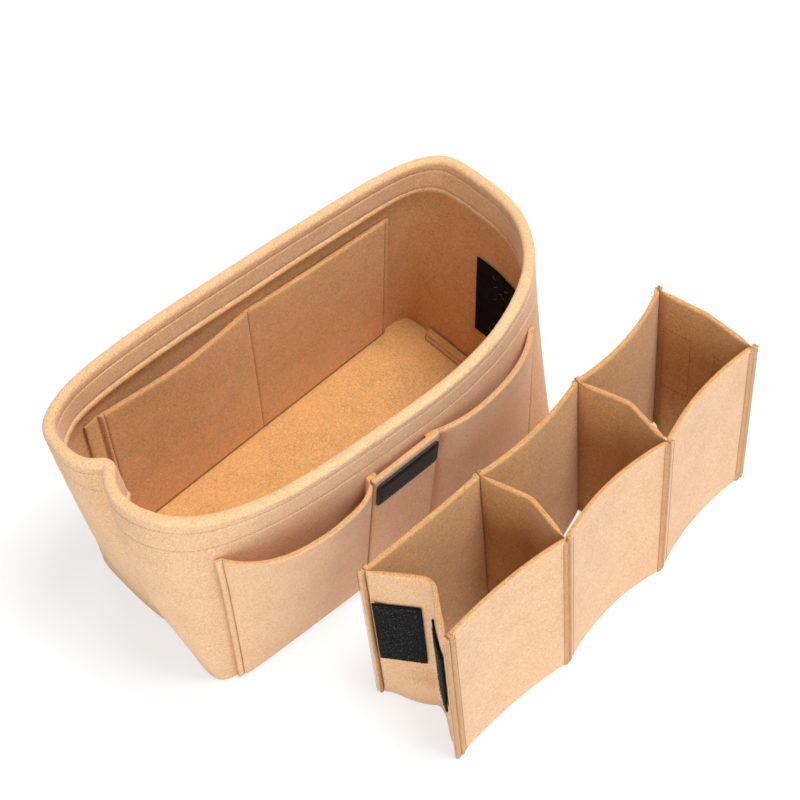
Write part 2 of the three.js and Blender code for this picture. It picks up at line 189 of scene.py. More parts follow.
class Value:
    """A number in a node tree; arithmetic on it adds Math nodes."""

    def __init__(self, graph: "Tree", socket: bpy.types.NodeSocket) -> None:
        """Wrap an output socket of the graph."""
        self.graph = graph
        self.socket = socket

    def _math(self, operation: str, first: Feed, second: Feed) -> "Value":
        """Add one Math node for two numbers or values."""
        node = self.graph.node("ShaderNodeMath", {"operation": operation}, {0: first, 1: second})
        return Value(self.graph, node.outputs[0])

    def __add__(self, other: Feed) -> "Value":
        """Sum of two values."""
        return self._math("ADD", self, other)

    __radd__ = __add__

    def __sub__(self, other: Feed) -> "Value":
        """Difference of two values."""
        return self._math("SUBTRACT", self, other)

    def __rsub__(self, other: Feed) -> "Value":
        """Difference of a number and this value."""
        return self._math("SUBTRACT", other, self)

    def __mul__(self, other: Feed) -> "Value":
        """Product of two values."""
        return self._math("MULTIPLY", self, other)

    __rmul__ = __mul__

    def near(self, value: float, reach: float) -> "Value":
        """1 within a reach of a value, and 0 elsewhere."""
        sockets = {0: self, 1: value, 2: reach}
        node = self.graph.node("ShaderNodeMath", {"operation": "COMPARE"}, sockets)
        return Value(self.graph, node.outputs[0])

    def step(self, low: float, high: float) -> "Value":
        """Smooth step from 0 at low to 1 at high."""
        settings = {"interpolation_type": "SMOOTHSTEP"}
        node = self.graph.node("ShaderNodeMapRange", settings, {0: self, 1: low, 2: high})
        return Value(self.graph, node.outputs[0])


class Tree:
    """Node tree of a material or of the world."""

    def __init__(self, tree: bpy.types.NodeTree) -> None:
        """Wrap a node tree."""
        self.tree = tree

    def feed(self, socket: bpy.types.NodeSocket, source: Feed) -> None:
        """Link a socket to a source, or set it to a constant.

        Args:
            socket: Input of a node.
            source: What feeds it, or a constant.
        """
        if isinstance(source, Value):
            source = source.socket
        if isinstance(source, bpy.types.NodeSocket):
            self.tree.links.new(source, socket)
        else:
            socket.default_value = source

    def node(
        self,
        kind: str,
        settings: Mapping[str, object],
        sockets: Mapping[Union[int, str], Feed],
    ) -> bpy.types.Node:
        """Add any node.

        Args:
            kind: Blender's name of the node's type.
            settings: Properties of the node, which are set first.
            sockets: Values or links of its inputs, by name or number.

        Returns:
            The new node.
        """
        node = self.tree.nodes.new(kind)
        for key, value in settings.items():
            setattr(node, key, value)
        for key, source in sockets.items():
            self.feed(node.inputs[key], source)
        return node

    def seen(self) -> Value:
        """1 where a camera, glossy or transmission ray arrives, and 0 for other light."""
        rays = self.node("ShaderNodeLightPath", {}, {}).outputs
        mirrored = Value(self, rays["Is Glossy Ray"]) + Value(self, rays["Is Transmission Ray"])
        return Value(self, rays["Is Camera Ray"]) + mirrored


class Graph(Tree):
    """Node tree of one material, with a Principled shader on its output."""

    def __init__(self, name: str, constants: Mapping[str, Feed]) -> None:
        """Start a material.

        Args:
            name: Name of the material.
            constants: Values of the shader's sockets that are the same all over the surface.
        """
        self.material = bpy.data.materials.new(name)
        self.material.use_nodes = True
        super().__init__(self.material.node_tree)
        self.shader = next(n for n in self.tree.nodes if n.type == "BSDF_PRINCIPLED")
        self.dress(constants)

    def dress(self, feeds: Mapping[str, Feed]) -> None:
        """Feed sockets of the shader by name."""
        for name, source in feeds.items():
            self.feed(self.shader.inputs[name], source)

    def place(self) -> bpy.types.NodeSocket:
        """Position on the object, in metres."""
        return self.node("ShaderNodeTexCoord", {}, {}).outputs["Object"]

    def stretched(self, scale: Sequence[float], turn: Sequence[float]) -> bpy.types.NodeSocket:
        """Position on the object, stretched and turned, in metres."""
        sockets = {"Vector": self.place(), "Scale": scale, "Rotation": turn}
        return self.node("ShaderNodeMapping", {}, sockets).outputs[0]

    def attribute(self, name: str) -> Value:
        """Number that the mesh carries at each of its corners."""
        node = self.node("ShaderNodeAttribute", {"attribute_name": name}, {})
        return Value(self, node.outputs["Fac"])

    def noise(self, place: Feed, scale: float, detail: float, distortion: float = 0.0) -> Value:
        """Cloudy noise about 0.5, with the given number of features in a metre."""
        sockets = {"Vector": place, "Scale": scale, "Detail": detail, "Distortion": distortion}
        return Value(self, self.node("ShaderNodeTexNoise", {}, sockets).outputs[0])

    def cells(self, place: Feed, scale: float) -> Value:
        """Distance to the nearest of scattered points, with a given number in a metre."""
        node = self.node("ShaderNodeTexVoronoi", {}, {"Vector": place, "Scale": scale})
        return Value(self, node.outputs["Distance"])

    def mix(self, share: Feed, first: Feed, second: Feed) -> bpy.types.NodeSocket:
        """Colour between two colours."""
        node = self.node("ShaderNodeMix", {"data_type": "RGBA"}, {0: share, 6: first, 7: second})
        return node.outputs[2]

    def bump(self, height: Value, distance: float, strength: float) -> None:
        """Feed the shader's normal from a height from 0 to 1 over a distance in millimetres."""
        sockets = {"Height": height, "Distance": distance * MM, "Strength": strength}
        self.dress({"Normal": self.node("ShaderNodeBump", {}, sockets).outputs[0]})


@dataclass(frozen=True)
class FeltFinish:
    """Pressed felt: short matted fibres in close tones, a few stray hairs, warmer cut edges, and
    painted shade on inside faces.

    Attributes:
        name: Name of the material.
        face: Colour of the fibres on top.
        hollow: Colour between the fibres.
        lining: Painted shade colour for inside faces, deeper and more saturated, because the felt
            there lies in shade.
        cut: Colour of a cut edge.
        hair: Colour of the stray hairs.
        grain_scale: Specks of the grain in a metre.
        fibre_scales: Fibres in a metre, in two directions.
        cloud_scale: Paler and darker clouds in a metre.
        hair_scale: Stray hairs in a metre.
        tones: Values of the noise at which the tone is darkest and palest.
        shaded: Share of the painted shade colour that is left between its fibres.
        frayed: Share of the cut edge's colour that is left between its fibres.
    """

    name: str
    face: Colour
    hollow: Colour
    lining: Colour
    cut: Colour
    hair: Colour
    grain_scale: float = 1900
    fibre_scales: tuple[float, float] = (1700, 1500)
    cloud_scale: float = 55
    hair_scale: float = 380
    tones: tuple[float, float] = (0.38, 0.58)
    shaded: float = 0.78
    frayed: float = 0.76

    def material(self) -> Material:
        """Make the material.

        Returns:
            The material.
        """
        constants = {"Sheen Weight": 0.2, "Sheen Roughness": 0.7, "Specular IOR Level": 0.1}
        graph = Graph(self.name, constants)
        place = graph.place()
        grain = graph.noise(place, self.grain_scale, 2, 0.4)
        lengthways = graph.stretched((0.35, 1, 0.6), (0.9, 0.2, 1.1))
        matted = graph.noise(lengthways, self.fibre_scales[0], 2, 1.2)
        crossways = graph.stretched((1, 0.35, 0.7), (0.3, 1.0, 0.5))
        crossed = graph.noise(crossways, self.fibre_scales[1], 2, 1.2)
        clouds = graph.noise(place, self.cloud_scale, 3)
        tone = (0.38 * grain + 0.28 * matted + 0.24 * crossed + 0.1 * clouds).step(*self.tones)
        # Inside faces take a deeper, more saturated colour as painted shade, mixed in by the inside
        # attribute.
        lining = graph.mix(tone, darker(self.lining, self.shaded), linear(self.lining))
        colour = graph.mix(tone, linear(self.hollow), linear(self.face))
        colour = graph.mix(graph.attribute("inside"), colour, lining)
        strays = graph.stretched((0.3, 1, 0.5), (0.5, 0.8, 0.2))
        drift = graph.noise(strays, self.hair_scale, 1, 1.5)
        hairs = drift.near(0.5, 0.012) * crossed.step(0.5, 0.62)
        colour = graph.mix(0.5 * hairs, colour, linear(self.hair))
        cut = graph.mix(grain.step(*self.tones), darker(self.cut, self.frayed), linear(self.cut))
        colour = graph.mix(0.85 * graph.attribute("edge"), colour, cut)
        graph.dress({"Base Color": colour, "Roughness": 0.86 + 0.12 * matted})
        graph.bump(0.45 * grain + 0.3 * matted + 0.25 * crossed, 0.6, 0.45)
        return graph.material


@dataclass(frozen=True)
class ThreadFinish:
    """Matte spun thread.

    Attributes:
        name: Name of the material.
        strand: Colour of the thread.
        shade: Colour between its plies.
        ply_scale: Plies in a metre.
    """

    name: str
    strand: Colour
    shade: Colour
    ply_scale: float = 1500

    def material(self) -> Material:
        """Make the material.

        Returns:
            The material.
        """
        graph = Graph(self.name, {"Roughness": 0.7, "Sheen Weight": 0.1})
        twist = graph.noise(graph.place(), self.ply_scale, 2)
        colour = graph.mix(twist.step(0.4, 0.6), linear(self.shade), linear(self.strand))
        graph.dress({"Base Color": colour})
        graph.bump(twist, 0.2, 0.5)
        return graph.material


class TapeFace(Enum):
    """Working face of hook and loop tape, with its roughness."""

    HOOK = 0.8
    LOOP = 0.95


@dataclass(frozen=True)
class TapeFinish:
    """Black woven tape under its hooks or its brushed loops.

    Attributes:
        name: Name of the material.
        face: Which half of the pair it is.
        base: Colour of the weave.
        dust: Colour of the lint in it.
        weave_scale: Threads in a metre.
        lint_scale: Wisps of lint in a metre.
    """

    name: str
    face: TapeFace
    base: Colour = (9, 8, 9)
    dust: Colour = (26, 24, 25)
    weave_scale: float = 1100
    lint_scale: float = 850

    def material(self) -> Material:
        """Make the material.

        Returns:
            The material.
        """
        graph = Graph(self.name, {"Specular IOR Level": 0.12})
        weave = graph.cells(graph.place(), self.weave_scale)
        lint = graph.noise(graph.stretched((0.3, 1, 0.6), (0.5, 0.9, 0.3)), self.lint_scale, 3, 1.2)
        colour = graph.mix(lint.step(0.5, 0.72), linear(self.base), linear(self.dust))
        graph.dress({"Base Color": colour, "Roughness": self.face.value - 0.15 * lint})
        graph.bump(0.6 * weave + 0.4 * lint, 0.6, 0.8)
        return graph.material


@dataclass(frozen=True)
class LeatherFinish:
    """Black grained leather, a little polished.

    Attributes:
        name: Name of the material.
        face: Colour of the grain.
        worn: Painted highlight colour along the rounded edges.
        pebble_scale: Pebbles of the grain in a metre.
        pore_scale: Pores in a metre.
    """

    name: str
    face: Colour
    worn: Colour = (52, 46, 45)
    pebble_scale: float = 900
    pore_scale: float = 1600

    def material(self) -> Material:
        """Make the material.

        Returns:
            The material.
        """
        graph = Graph(self.name, {"Coat Roughness": 0.5, "Specular IOR Level": 0.25})
        place = graph.place()
        pebbles = graph.cells(place, self.pebble_scale)
        pores = graph.noise(place, self.pore_scale, 3)
        # Lighter towards the rounded edges as a painted highlight, with some real mottling from the
        # pores.
        highlight_and_pores = 0.5 * graph.attribute("edge") + 0.15 * pores
        colour = graph.mix(highlight_and_pores, linear(self.face), linear(self.worn))
        graph.dress({"Base Color": colour, "Roughness": 0.5 + 0.25 * pores,
                     "Coat Weight": 0.1 - 0.05 * pores})
        graph.bump(0.7 * pebbles + 0.3 * pores, 0.35, 0.5)
        return graph.material


def settle(bm: bmesh.types.BMesh, name: str, material: Material) -> Piece:
    """Turn a finished bmesh in millimetres into a piece at the origin.

    Args:
        bm: The mesh, which is freed.
        name: Name of the piece.
        material: Its finish.

    Returns:
        The new object.
    """
    bmesh.ops.scale(bm, vec=(MM, MM, MM), verts=bm.verts[:])
    bmesh.ops.recalc_face_normals(bm, faces=bm.faces[:])
    for face in bm.faces:
        face.smooth = True
    mesh = bpy.data.meshes.new(name)
    bm.to_mesh(mesh)
    bm.free()
    mesh.materials.append(material)
    piece = bpy.data.objects.new(name, mesh)
    bpy.context.scene.collection.objects.link(piece)
    log.info("%s: %d faces", name, len(mesh.polygons))
    return piece


@dataclass
class Slab:
    """Closed sheet with softly rounded cut edges, carried into place corner by corner.

    Attributes:
        width: Size along the sheet.
        height: Size up the sheet.
        place: Carries (along, up, face), each from 0 to 1, to a point; face 1 is the outer face.
        cell: Size of the mesh's cells away from the edges.
        edge: Width of the rounded band along the cut edges.
        keep: Share of the thickness that is left at the top and the foot.
        side_keep: Share of the thickness that is left at the two sides.
        lines: Distances along the sheet that need close columns.
        columns: Shares along the sheet of all its columns, where they are given.
        tint: Adds to how much a place (along, up) looks like a cut edge.
        lining: How much painted shade faces 0 and 1 get, as inside faces.
    """

    width: float
    height: float
    place: Place
    cell: float = 2.5
    edge: float = 1.2
    keep: float = 0.5
    side_keep: float = 0.5
    lines: Sequence[float] = ()
    columns: Sequence[float] = ()
    tint: Callable[[float, float], float] = lambda along, up: 0.0
    lining: tuple[float, float] = (0.0, 0.0)

    def build(self, name: str, material: Material) -> Piece:
        """Make the sheet.

        Args:
            name: Name of the piece.
            material: Its finish.

        Returns:
            The new object.
        """
        places = stations(self.width, self.cell, self.edge, self.lines)
        across = list(self.columns) or [spot / self.width for spot in places]
        upward = [spot / self.height for spot in stations(self.height, self.cell, self.edge)]
        columns, rows = len(across) - 1, len(upward) - 1
        bm = bmesh.new()
        edge_layer = bm.verts.layers.float.new("edge")
        painted_shade_layer = bm.verts.layers.float.new("inside")
        bmesh.ops.create_grid(bm, x_segments=columns, y_segments=rows, size=0.5)
        bmesh.ops.solidify(bm, geom=bm.faces[:], thickness=1.0)
        lowest = min(vert.co.z for vert in bm.verts)
        for vert in bm.verts:
            along = across[round((vert.co.x + 0.5) * columns)]
            up = upward[round((vert.co.y + 0.5) * rows)]
            beside = max(0.0, 1 - min(along, 1 - along) * self.width / self.edge)
            ending = max(0.0, 1 - min(up, 1 - up) * self.height / self.edge)
            full = min(lerp(1.0, self.side_keep, beside**2), lerp(1.0, self.keep, ending**2))
            face = 0.5 + (vert.co.z - lowest - 0.5) * full
            vert.co = self.place(along, up, face)
            vert[edge_layer] = max(beside**2, ending**2, self.tint(along, up))
            # Painted shade, by how far this corner lies on an inside face.
            vert[painted_shade_layer] = lerp(*self.lining, face)
        return settle(bm, name, material)


@dataclass
class Seam:
    """Rows of thread sewn through the felt, gathered into one piece.

    Attributes:
        length: Length of one stitch.
        pitch: Distance from one stitch to the next.
        radius: Radius of the thread.
        mesh: The stitches so far.
    """

    length: float = 2.1
    pitch: float = 2.4
    radius: float = 0.2
    mesh: bmesh.types.BMesh = field(default_factory=bmesh.new)

    def run(self, path: Callable[[float], Vector], samples: int = 200) -> None:
        """Sew one row.

        Args:
            path: Point of the row at a share from 0 to 1.
            samples: Number of points with which the row is measured.
        """
        points = [path(i / samples) for i in range(samples + 1)]
        totals = running(spans(points))
        count = max(1, round(totals[-1] / self.pitch))
        middles = [(number + 0.5) * totals[-1] / count for number in range(count)]
        for index, share in walk(totals, middles):
            before, after = points[index], points[index + 1]
            self.stitch(before.lerp(after, share), (after - before).normalized())

    def stitch(self, middle: Vector, direction: Vector) -> None:
        """Lay one stitch.

        Args:
            middle: Middle of the stitch.
            direction: Unit vector along it.
        """
        turn = direction.to_track_quat("X", "Z").to_matrix().to_4x4()
        shape = Matrix.Diagonal((self.length / 2, self.radius, self.radius, 1))
        matrix = Matrix.Translation(middle) @ turn @ shape
        bmesh.ops.create_icosphere(self.mesh, subdivisions=1, radius=1, matrix=matrix)

    def build(self, name: str, material: Material) -> Piece:
        """Make the rows one piece."""
        return settle(self.mesh, name, material)


@dataclass(frozen=True)
class Finishes:
    """The materials of the organizer."""

    tub_felt: Material
    divider_felt: Material
    thread: Material
    hem_thread: Material
    hair: Material
    loop_tape: Material
    hook_tape: Material
    nylon: Material
    leather: Material

    @classmethod
    def make(cls) -> "Finishes":
        """Make all the materials.

        Returns:
            The finishes.
        """
        # Besides the felt's own colours, the third one is painted shade for inside faces.
        felt = {"face": (241, 198, 155), "hollow": (212, 160, 110), "lining": (232, 174, 106),
                "cut": (216, 156, 94), "hair": (250, 226, 190)}
        return cls(
            tub_felt=FeltFinish("tub_felt", **felt).material(),
            divider_felt=FeltFinish("divider_felt", **felt).material(),
            thread=ThreadFinish("seam_thread", (146, 94, 50), (104, 64, 32)).material(),
            hem_thread=ThreadFinish("hem_thread", (202, 152, 104), (164, 114, 70)).material(),
            hair=ThreadFinish("stray_hair", (176, 160, 142), (120, 104, 90)).material(),
            loop_tape=TapeFinish("loop_tape", TapeFace.LOOP).material(),
            hook_tape=TapeFinish("hook_tape", TapeFace.HOOK).material(),
            nylon=ThreadFinish("hook_nylon", (92, 90, 92), (16, 15, 16)).material(),
            leather=LeatherFinish("label_leather", (16, 13, 13)).material(),
        )


class Side(Enum):
    """Side of the tub: the axis of a place along it, and the turns between which it lies."""

    BACK = (0, 0.4, math.pi - 0.4)
    FRONT = (0, math.pi + 0.4, FULL - 0.4)
    RIGHT = (1, -EIGHTH, EIGHTH)
    LEFT = (1, 3 * EIGHTH, 5 * EIGHTH)


@dataclass(frozen=True)
class TubShape:
    """Form of the tub: a nearly square base, a rim bowed out in front and one end pushed in."""

    height: float = 155.0
    base_length: float = 257.0
    base_depth: float = 135.5
    base_slant: float = 10.0
    base_squareness: float = 16.0
    rim_centre: tuple[float, float] = (2.0, 4.25)
    rim_right: float = 141.0
    rim_left: float = 147.0
    rim_back: float = 48.5
    rim_front: float = 101.5
    squareness_back_right: float = 4.7
    squareness_back_left: float = 3.5
    squareness_front_left: float = 3.35
    squareness_front_right: float = 2.3
    fold_rim_depth: float = 12.0
    fold_base_depth: float = 8.0
    fold_rim_y: float = -14.6
    fold_base_y: float = -23.8
    fold_rim_reach: tuple[float, float] = (13.5, 7.2)
    fold_base_reach: tuple[float, float] = (14.0, 14.0)
    fold_round: float = 0.8
    front_belly: float = 14.0
    back_belly: float = 3.0

    @staticmethod
    def square_reach(turn: float, squareness: float) -> float:
        """Distance from the middle of a unit rounded square to its edge."""
        total = abs(math.cos(turn)) ** squareness + abs(math.sin(turn)) ** squareness
        return total ** (-1 / squareness)

    def base_point(self, turn: float) -> tuple[float, float]:
        """Find the outer edge of the base.

        Args:
            turn: Turn round the tub.

        Returns:
            Its x and y.
        """
        reach = self.square_reach(turn, self.base_squareness)
        along = math.cos(turn) * reach
        across = math.sin(turn) * reach
        slant = self.base_slant * along if across > 0 else 0.0
        return along * self.base_length / 2, across * (self.base_depth / 2 + slant)

    def rim_point(self, turn: float) -> tuple[float, float]:
        """Find the outer edge of the rim.

        Args:
            turn: Turn round the tub.

        Returns:
            Its x and y.
        """
        to_right = math.cos(turn) >= 0
        if math.sin(turn) >= 0:
            squareness = self.squareness_back_right if to_right else self.squareness_back_left
            depth = self.rim_back
        else:
            squareness = self.squareness_front_right if to_right else self.squareness_front_left
            depth = self.rim_front
        reach = self.square_reach(turn, squareness)
        length = self.rim_right if to_right else self.rim_left
        x = self.rim_centre[0] + math.cos(turn) * reach * length
        return x, self.rim_centre[1] + math.sin(turn) * reach * depth

    def outline(self, turn: float, rise: float) -> tuple[float, float]:
        """Find the outer face of the wall.

        Args:
            turn: Turn round the tub.
            rise: Share of the height, from the base to the rim.

        Returns:
            Its x and y.
        """
        base, rim = self.base_point(turn), self.rim_point(turn)
        x, y = (lerp(low, high, rise) for low, high in zip(base, rim))
        leftness = max(0.0, -math.cos(turn)) ** 2
        fold_y = lerp(self.fold_base_y, self.fold_rim_y, rise)
        fold_depth = lerp(self.fold_base_depth, self.fold_rim_depth, rise)
        belly = (self.front_belly if y < fold_y else self.back_belly) * math.sin(math.pi * rise)
        side = 0 if y < fold_y else 1
        reach = lerp(self.fold_base_reach[side], self.fold_rim_reach[side], rise)
        fold = math.exp((self.fold_round - math.hypot(y - fold_y, self.fold_round)) / reach)
        return x + leftness * ((fold_depth + belly) * fold - belly), y

    def wall_point(self, turn: float, z: float, depth: float) -> Vector:
        """Find a point of the wall.

        Args:
            turn: Turn round the tub.
            z: Height.
            depth: Distance in from the outer face.

        Returns:
            The point.
        """
        rise = z / self.height
        step = 1e-3
        x, y = self.outline(turn, rise)
        ahead = self.outline(turn + step, rise)
        behind = self.outline(turn - step, rise)
        along = Vector((ahead[0] - behind[0], ahead[1] - behind[1])).normalized()
        return Vector((x - along.y * depth, y + along.x * depth, z))

    @lru_cache(maxsize=None)
    def turn_where(self, side: Side, value: float, z: float) -> float:
        """Find the turn at which the outline crosses a place along a side.

        Args:
            side: Side of the tub.
            value: The place, as x or y.
            z: Height.

        Returns:
            The turn.
        """
        axis, low, high = side.value
        rise = z / self.height
        rising = self.outline(high, rise)[axis] > self.outline(low, rise)[axis]
        for _ in range(30):
            middle = (low + high) / 2
            if (self.outline(middle, rise)[axis] < value) == rising:
                low = middle
            else:
                high = middle
        return (low + high) / 2

    def side_point(self, side: Side, value: float, z: float, depth: float) -> Vector:
        """Point of a side at an x or y and a height, set in from the outer face by depth."""
        value, z = round(value, 4), round(z, 4)
        return self.wall_point(self.turn_where(side, value, z), z, depth)

    def even_turns(self, count: int) -> list[float]:
        """Turns once round the tub, close together where the wall bends at any height.

        Args:
            count: Number of turns.

        Returns:
            The turns, from -45 degrees on.
        """
        fine = 3000
        turns = [-EIGHTH + FULL * i / fine for i in range(fine + 1)]
        heights, depth = (8.0, 60.0, 110.0, 150.0), 6.0
        rings = [[self.wall_point(turn, z, depth) for turn in turns] for z in heights]
        totals = running(max(steps) for steps in zip(*map(spans, rings)))
        targets = [number * totals[-1] / count for number in range(count)]
        return [lerp(turns[i], turns[i + 1], share) for i, share in walk(totals, targets)]


@dataclass
class Tub:
    """Felt tub: shell, floor, welts, pockets, label and loop tape, all on one body."""

    shape: TubShape = field(default_factory=TubShape)
    felt: float = 3.2
    gap: float = 0.3
    wall_columns: int = 470
    wall_cell: float = 2.8
    wall_round: float = 0.9
    wave: float = 0.45
    ripple: float = 0.1
    hem_depth: float = 25.0
    hem_rows: tuple[float, float] = (147.5, 133.5)
    hem_groove: tuple[float, float] = (0.4, 0.6)
    hem_joints: tuple[float, float] = (0.735, 0.80)
    hem_joint_span: tuple[float, float] = (131.0, 149.0)
    pocket_top: float = 125.0
    pocket_foot: float = 2.0
    pocket_seam: float = 3.6
    pocket_tuck: float = 5.0
    pocket_fullness: float = 2.6
    panel_left: float = -30.0
    panel_right: float = 14.0
    panel_rise: tuple[float, float] = (1.0, 5.0)
    left_edge: float = -117.0
    right_edge: float = 101.0
    left_belly: float = 15.0
    right_belly: float = 7.0
    left_brim: float = 3.4
    inner_half: float = 105.0
    inner_foot: float = 4.5
    inner_top: float = 117.0
    inner_gapes: tuple[float, float] = (1.5, 6.0)
    inner_pleat: float = 10.5
    inner_seam: float = 2.6
    label_margin: float = 1.5
    label_height: float = 20.0
    label_thickness: float = 2.0
    label_corner: float = 3.0
    label_top: float = 119.0
    loop_top: float = 97.0
    loop_length: float = 57.0
    loop_width: float = 26.1
    loop_centre: float = -20.8
    loop_gap: float = 0.8
    tape: float = 1.4
    tape_gap: float = 0.4
    lint_hairs: int = 16
    welt_height: float = 6.0
    welt_width: float = 6.0
    welt_length: float = 84.0
    body: str = "tub"

    @property
    def hem_foot(self) -> float:
        """Height of the hem's raw edge."""
        return self.shape.height - self.hem_depth

    @property
    def pocket_height(self) -> float:
        """Height of the outer pockets' felt."""
        return self.pocket_top - self.pocket_foot

    def section(self) -> list[tuple[float, float]]:
        """Closed section of the wall, from the outer foot up and round.

        Returns:
            Depths in from the outer face, each with its height.
        """
        height, half = self.shape.height, self.felt + self.gap / 2
        foot, raw, roll = self.wall_round, self.hem_foot, 10
        rows = [row - foot for row in self.hem_rows]
        spots = [(0.0, foot + z) for z in stations(height - half - foot, self.wall_cell, 1.2, rows)]
        for i in range(1, roll):
            angle = math.pi * i / roll
            spots.append((half - half * math.cos(angle), height - half + half * math.sin(angle)))
        rows = [row - raw for row in self.hem_rows]
        leg = stations(height - half - raw, self.wall_cell, 0.8, rows)
        spots += [(2 * half, raw + z) for z in reversed(leg)]
        spots += [(2 * half - 0.7, raw - 0.4), (self.felt + 1.0, raw - 0.4), (self.felt + 0.3, raw)]
        inner = stations(raw - 0.8 - foot, self.wall_cell, 1.2)
        spots += [(self.felt, foot + z) for z in reversed(inner)]
        return spots + [(self.felt - foot, 0.0), (foot, 0.0)]

    def wall_relief(self, turn: float, z: float, depth: float) -> float:
        """Say how the sewn hem and the soft felt move a point of the wall.

        Args:
            turn: Turn round the tub.
            z: Height.
            depth: Distance in from the outer face.

        Returns:
            How far the point moves inwards.
        """
        sink, reach = self.hem_groove
        groove = sum(sink * bump_at(z, row, reach) for row in self.hem_rows)
        relief = 0.0
        if depth == 0.0:
            relief = groove
        elif depth > 1.5 * self.felt and z < self.shape.height - self.felt:
            sides = smooth(0.8, 1.1, turn) * (1 - smooth(3.6, 4.2, turn))
            flare = smooth(self.hem_rows[1] - 0.3, self.hem_foot + 0.9, z)
            relief = lerp(0.2, 1.0, sides) * flare - groove
        spot = Vector((math.cos(turn) * 3.2, math.sin(turn) * 3.2, z * 0.022))
        return relief + self.wave * noise.noise(spot) + self.ripple * noise.noise(spot * 5.5)

    def shell(self, felt: Material) -> Piece:
        """Make the four walls and the turned hem, as one closed sheet swept round the tub.

        Args:
            felt: Their finish.

        Returns:
            The new object.
        """
        turns = self.shape.even_turns(self.wall_columns)
        spots = self.section()
        raw = self.hem_foot
        bm = bmesh.new()
        edge_layer = bm.verts.layers.float.new("edge")
        painted_shade_layer = bm.verts.layers.float.new("inside")
        bmesh.ops.create_grid(bm, x_segments=len(turns), y_segments=len(spots), size=0.5)
        for vert in bm.verts:
            turn = turns[round((vert.co.x + 0.5) * len(turns)) % len(turns)]
            depth, z = spots[round((vert.co.y + 0.5) * len(spots)) % len(spots)]
            cut = abs(z - raw) < 1.0 and depth > self.felt + 0.5
            vert[edge_layer] = 0.7 if cut else 0.0
            # Painted shade on the inner faces of the wall, with less of it on the hem above its raw
            # edge.
            paler = lerp(1.0, 0.3, smooth(raw - 1.0, raw + 2.0, z))
            vert[painted_shade_layer] = smooth(0.0, 3.0, depth) * paler
            vert.co = self.shape.wall_point(turn, z, depth + self.wall_relief(turn, z, depth))
        bmesh.ops.remove_doubles(bm, verts=bm.verts[:], dist=1e-4)
        return settle(bm, "tub_shell", felt)

    def floor(self, felt: Material) -> Piece:
        """Make the floor between the walls, a little uneven.

        Args:
            felt: Its finish.

        Returns:
            The new object.
        """

        def place(along: float, up: float, face: float) -> Vector:
            """Carry a square to the outline of the base."""
            across, out = 2 * along - 1, 2 * up - 1
            square = max(abs(across), abs(out))
            rim = self.shape.wall_point(math.atan2(out, across), 0.0, self.felt - 0.8)
            spot = rim * square
            wave = 0.5 * noise.noise(Vector((spot.x, spot.y, 0.0)) * 0.03) * (1 - square**4)
            spot.z = self.felt * face + max(0.0, wave) * face
            return spot

        length, depth = self.shape.base_length, self.shape.base_depth
        # Painted shade on both faces, as the floor lies inside the tub.
        return Slab(length, depth, place, cell=4.0, lining=(1.0, 1.0)).build("tub_floor", felt)

    def welt_turn(self, middle: float, share: float) -> float:
        """Turn at a share along the rolled seam of one end."""
        half = math.atan(self.welt_length / self.shape.base_depth)
        return middle + lerp(-half, half, share)

    def welt(self, name: str, middle: float, felt: Material) -> Piece:
        """Make the rolled seam across one end of the floor.

        Args:
            name: Name of the piece.
            middle: Turn at the middle of that end.
            felt: Its finish.

        Returns:
            The new object.
        """
        foot = self.felt + self.gap

        def place(along: float, up: float, face: float) -> Vector:
            """Carry the strip to the foot of the wall."""
            slope = up * (1 - face) * self.welt_width / 2
            depth = self.felt + 2 * self.gap + (1 - face) * self.welt_width - slope
            turn = self.welt_turn(middle, along)
            return self.shape.wall_point(turn, foot + up * self.welt_height, depth)

        size = (self.welt_length, self.welt_height)
        # Painted shade on both faces, as the welt lies inside the tub.
        return Slab(*size, place, cell=1.4, keep=0.7, lining=(1.0, 1.0)).build(name, felt)

    def inner_spot(self, x: float, up: float, out: float) -> Vector:
        """Find a point of the inner pocket.

        Args:
            x: Place along the tub.
            up: Share of the pocket's height.
            out: Distance out from its back.

        Returns:
            The point.
        """
        z = lerp(self.inner_foot, self.inner_top, up)
        share = min(1.0, abs(x) / self.inner_half)
        gape = self.inner_gapes[0 if x > 0 else 1] * math.sin(math.pi * share) * up
        return self.shape.side_point(Side.BACK, x, z, self.felt + self.gap + gape + out)

    def inner_sink(self, x: float) -> float:
        """Say how far the inner pocket's face is pressed in by seams, and at the pleat beside it.

        Args:
            x: Place along the tub.

        Returns:
            The distance.
        """
        seams = sum(bump_at(x, place, 0.55) for place in self.inner_seams())
        edge = -self.inner_half
        gap = 2.4 * bump_at(x, edge - 0.9, 0.7)
        return 0.7 * seams + gap + 1.3 * smooth(edge - 1.0, edge - 1.8, x)

    def inner_seams(self) -> tuple[float, float, float]:
        """Where the inner pocket is stitched to the wall, from right to left."""
        return self.inner_half - self.inner_seam, 0.0, self.inner_seam - self.inner_half

    def inner_pocket(self, felt: Material) -> Piece:
        """Make the pocket panel inside the back wall, with a narrow pleat at its left.

        Args:
            felt: Its finish.

        Returns:
            The new object.
        """
        width = 2 * self.inner_half + self.inner_pleat
        thinnest = 0.5

        def place(along: float, up: float, face: float) -> Vector:
            """Carry the panel to the back wall."""
            x = self.inner_half - along * width
            thick = max(thinnest, self.felt - self.inner_sink(x))
            return self.inner_spot(x, up, thick * (1 - face))

        def tint(along: float, _: float) -> float:
            """Show the cut edge beside the pleat."""
            return bump_at(self.inner_half - along * width, 0.3 - self.inner_half, 0.9)

        lines = [self.inner_half - x for x in self.inner_seams()] + [2 * self.inner_half + 1.2]
        height = self.inner_top - self.inner_foot
        # Painted shade on both faces, as the pocket lies inside the tub.
        slab = Slab(width, height, place, lines=lines, tint=tint, lining=(1.0, 1.0))
        return slab.build("inner_pocket_felt", felt)

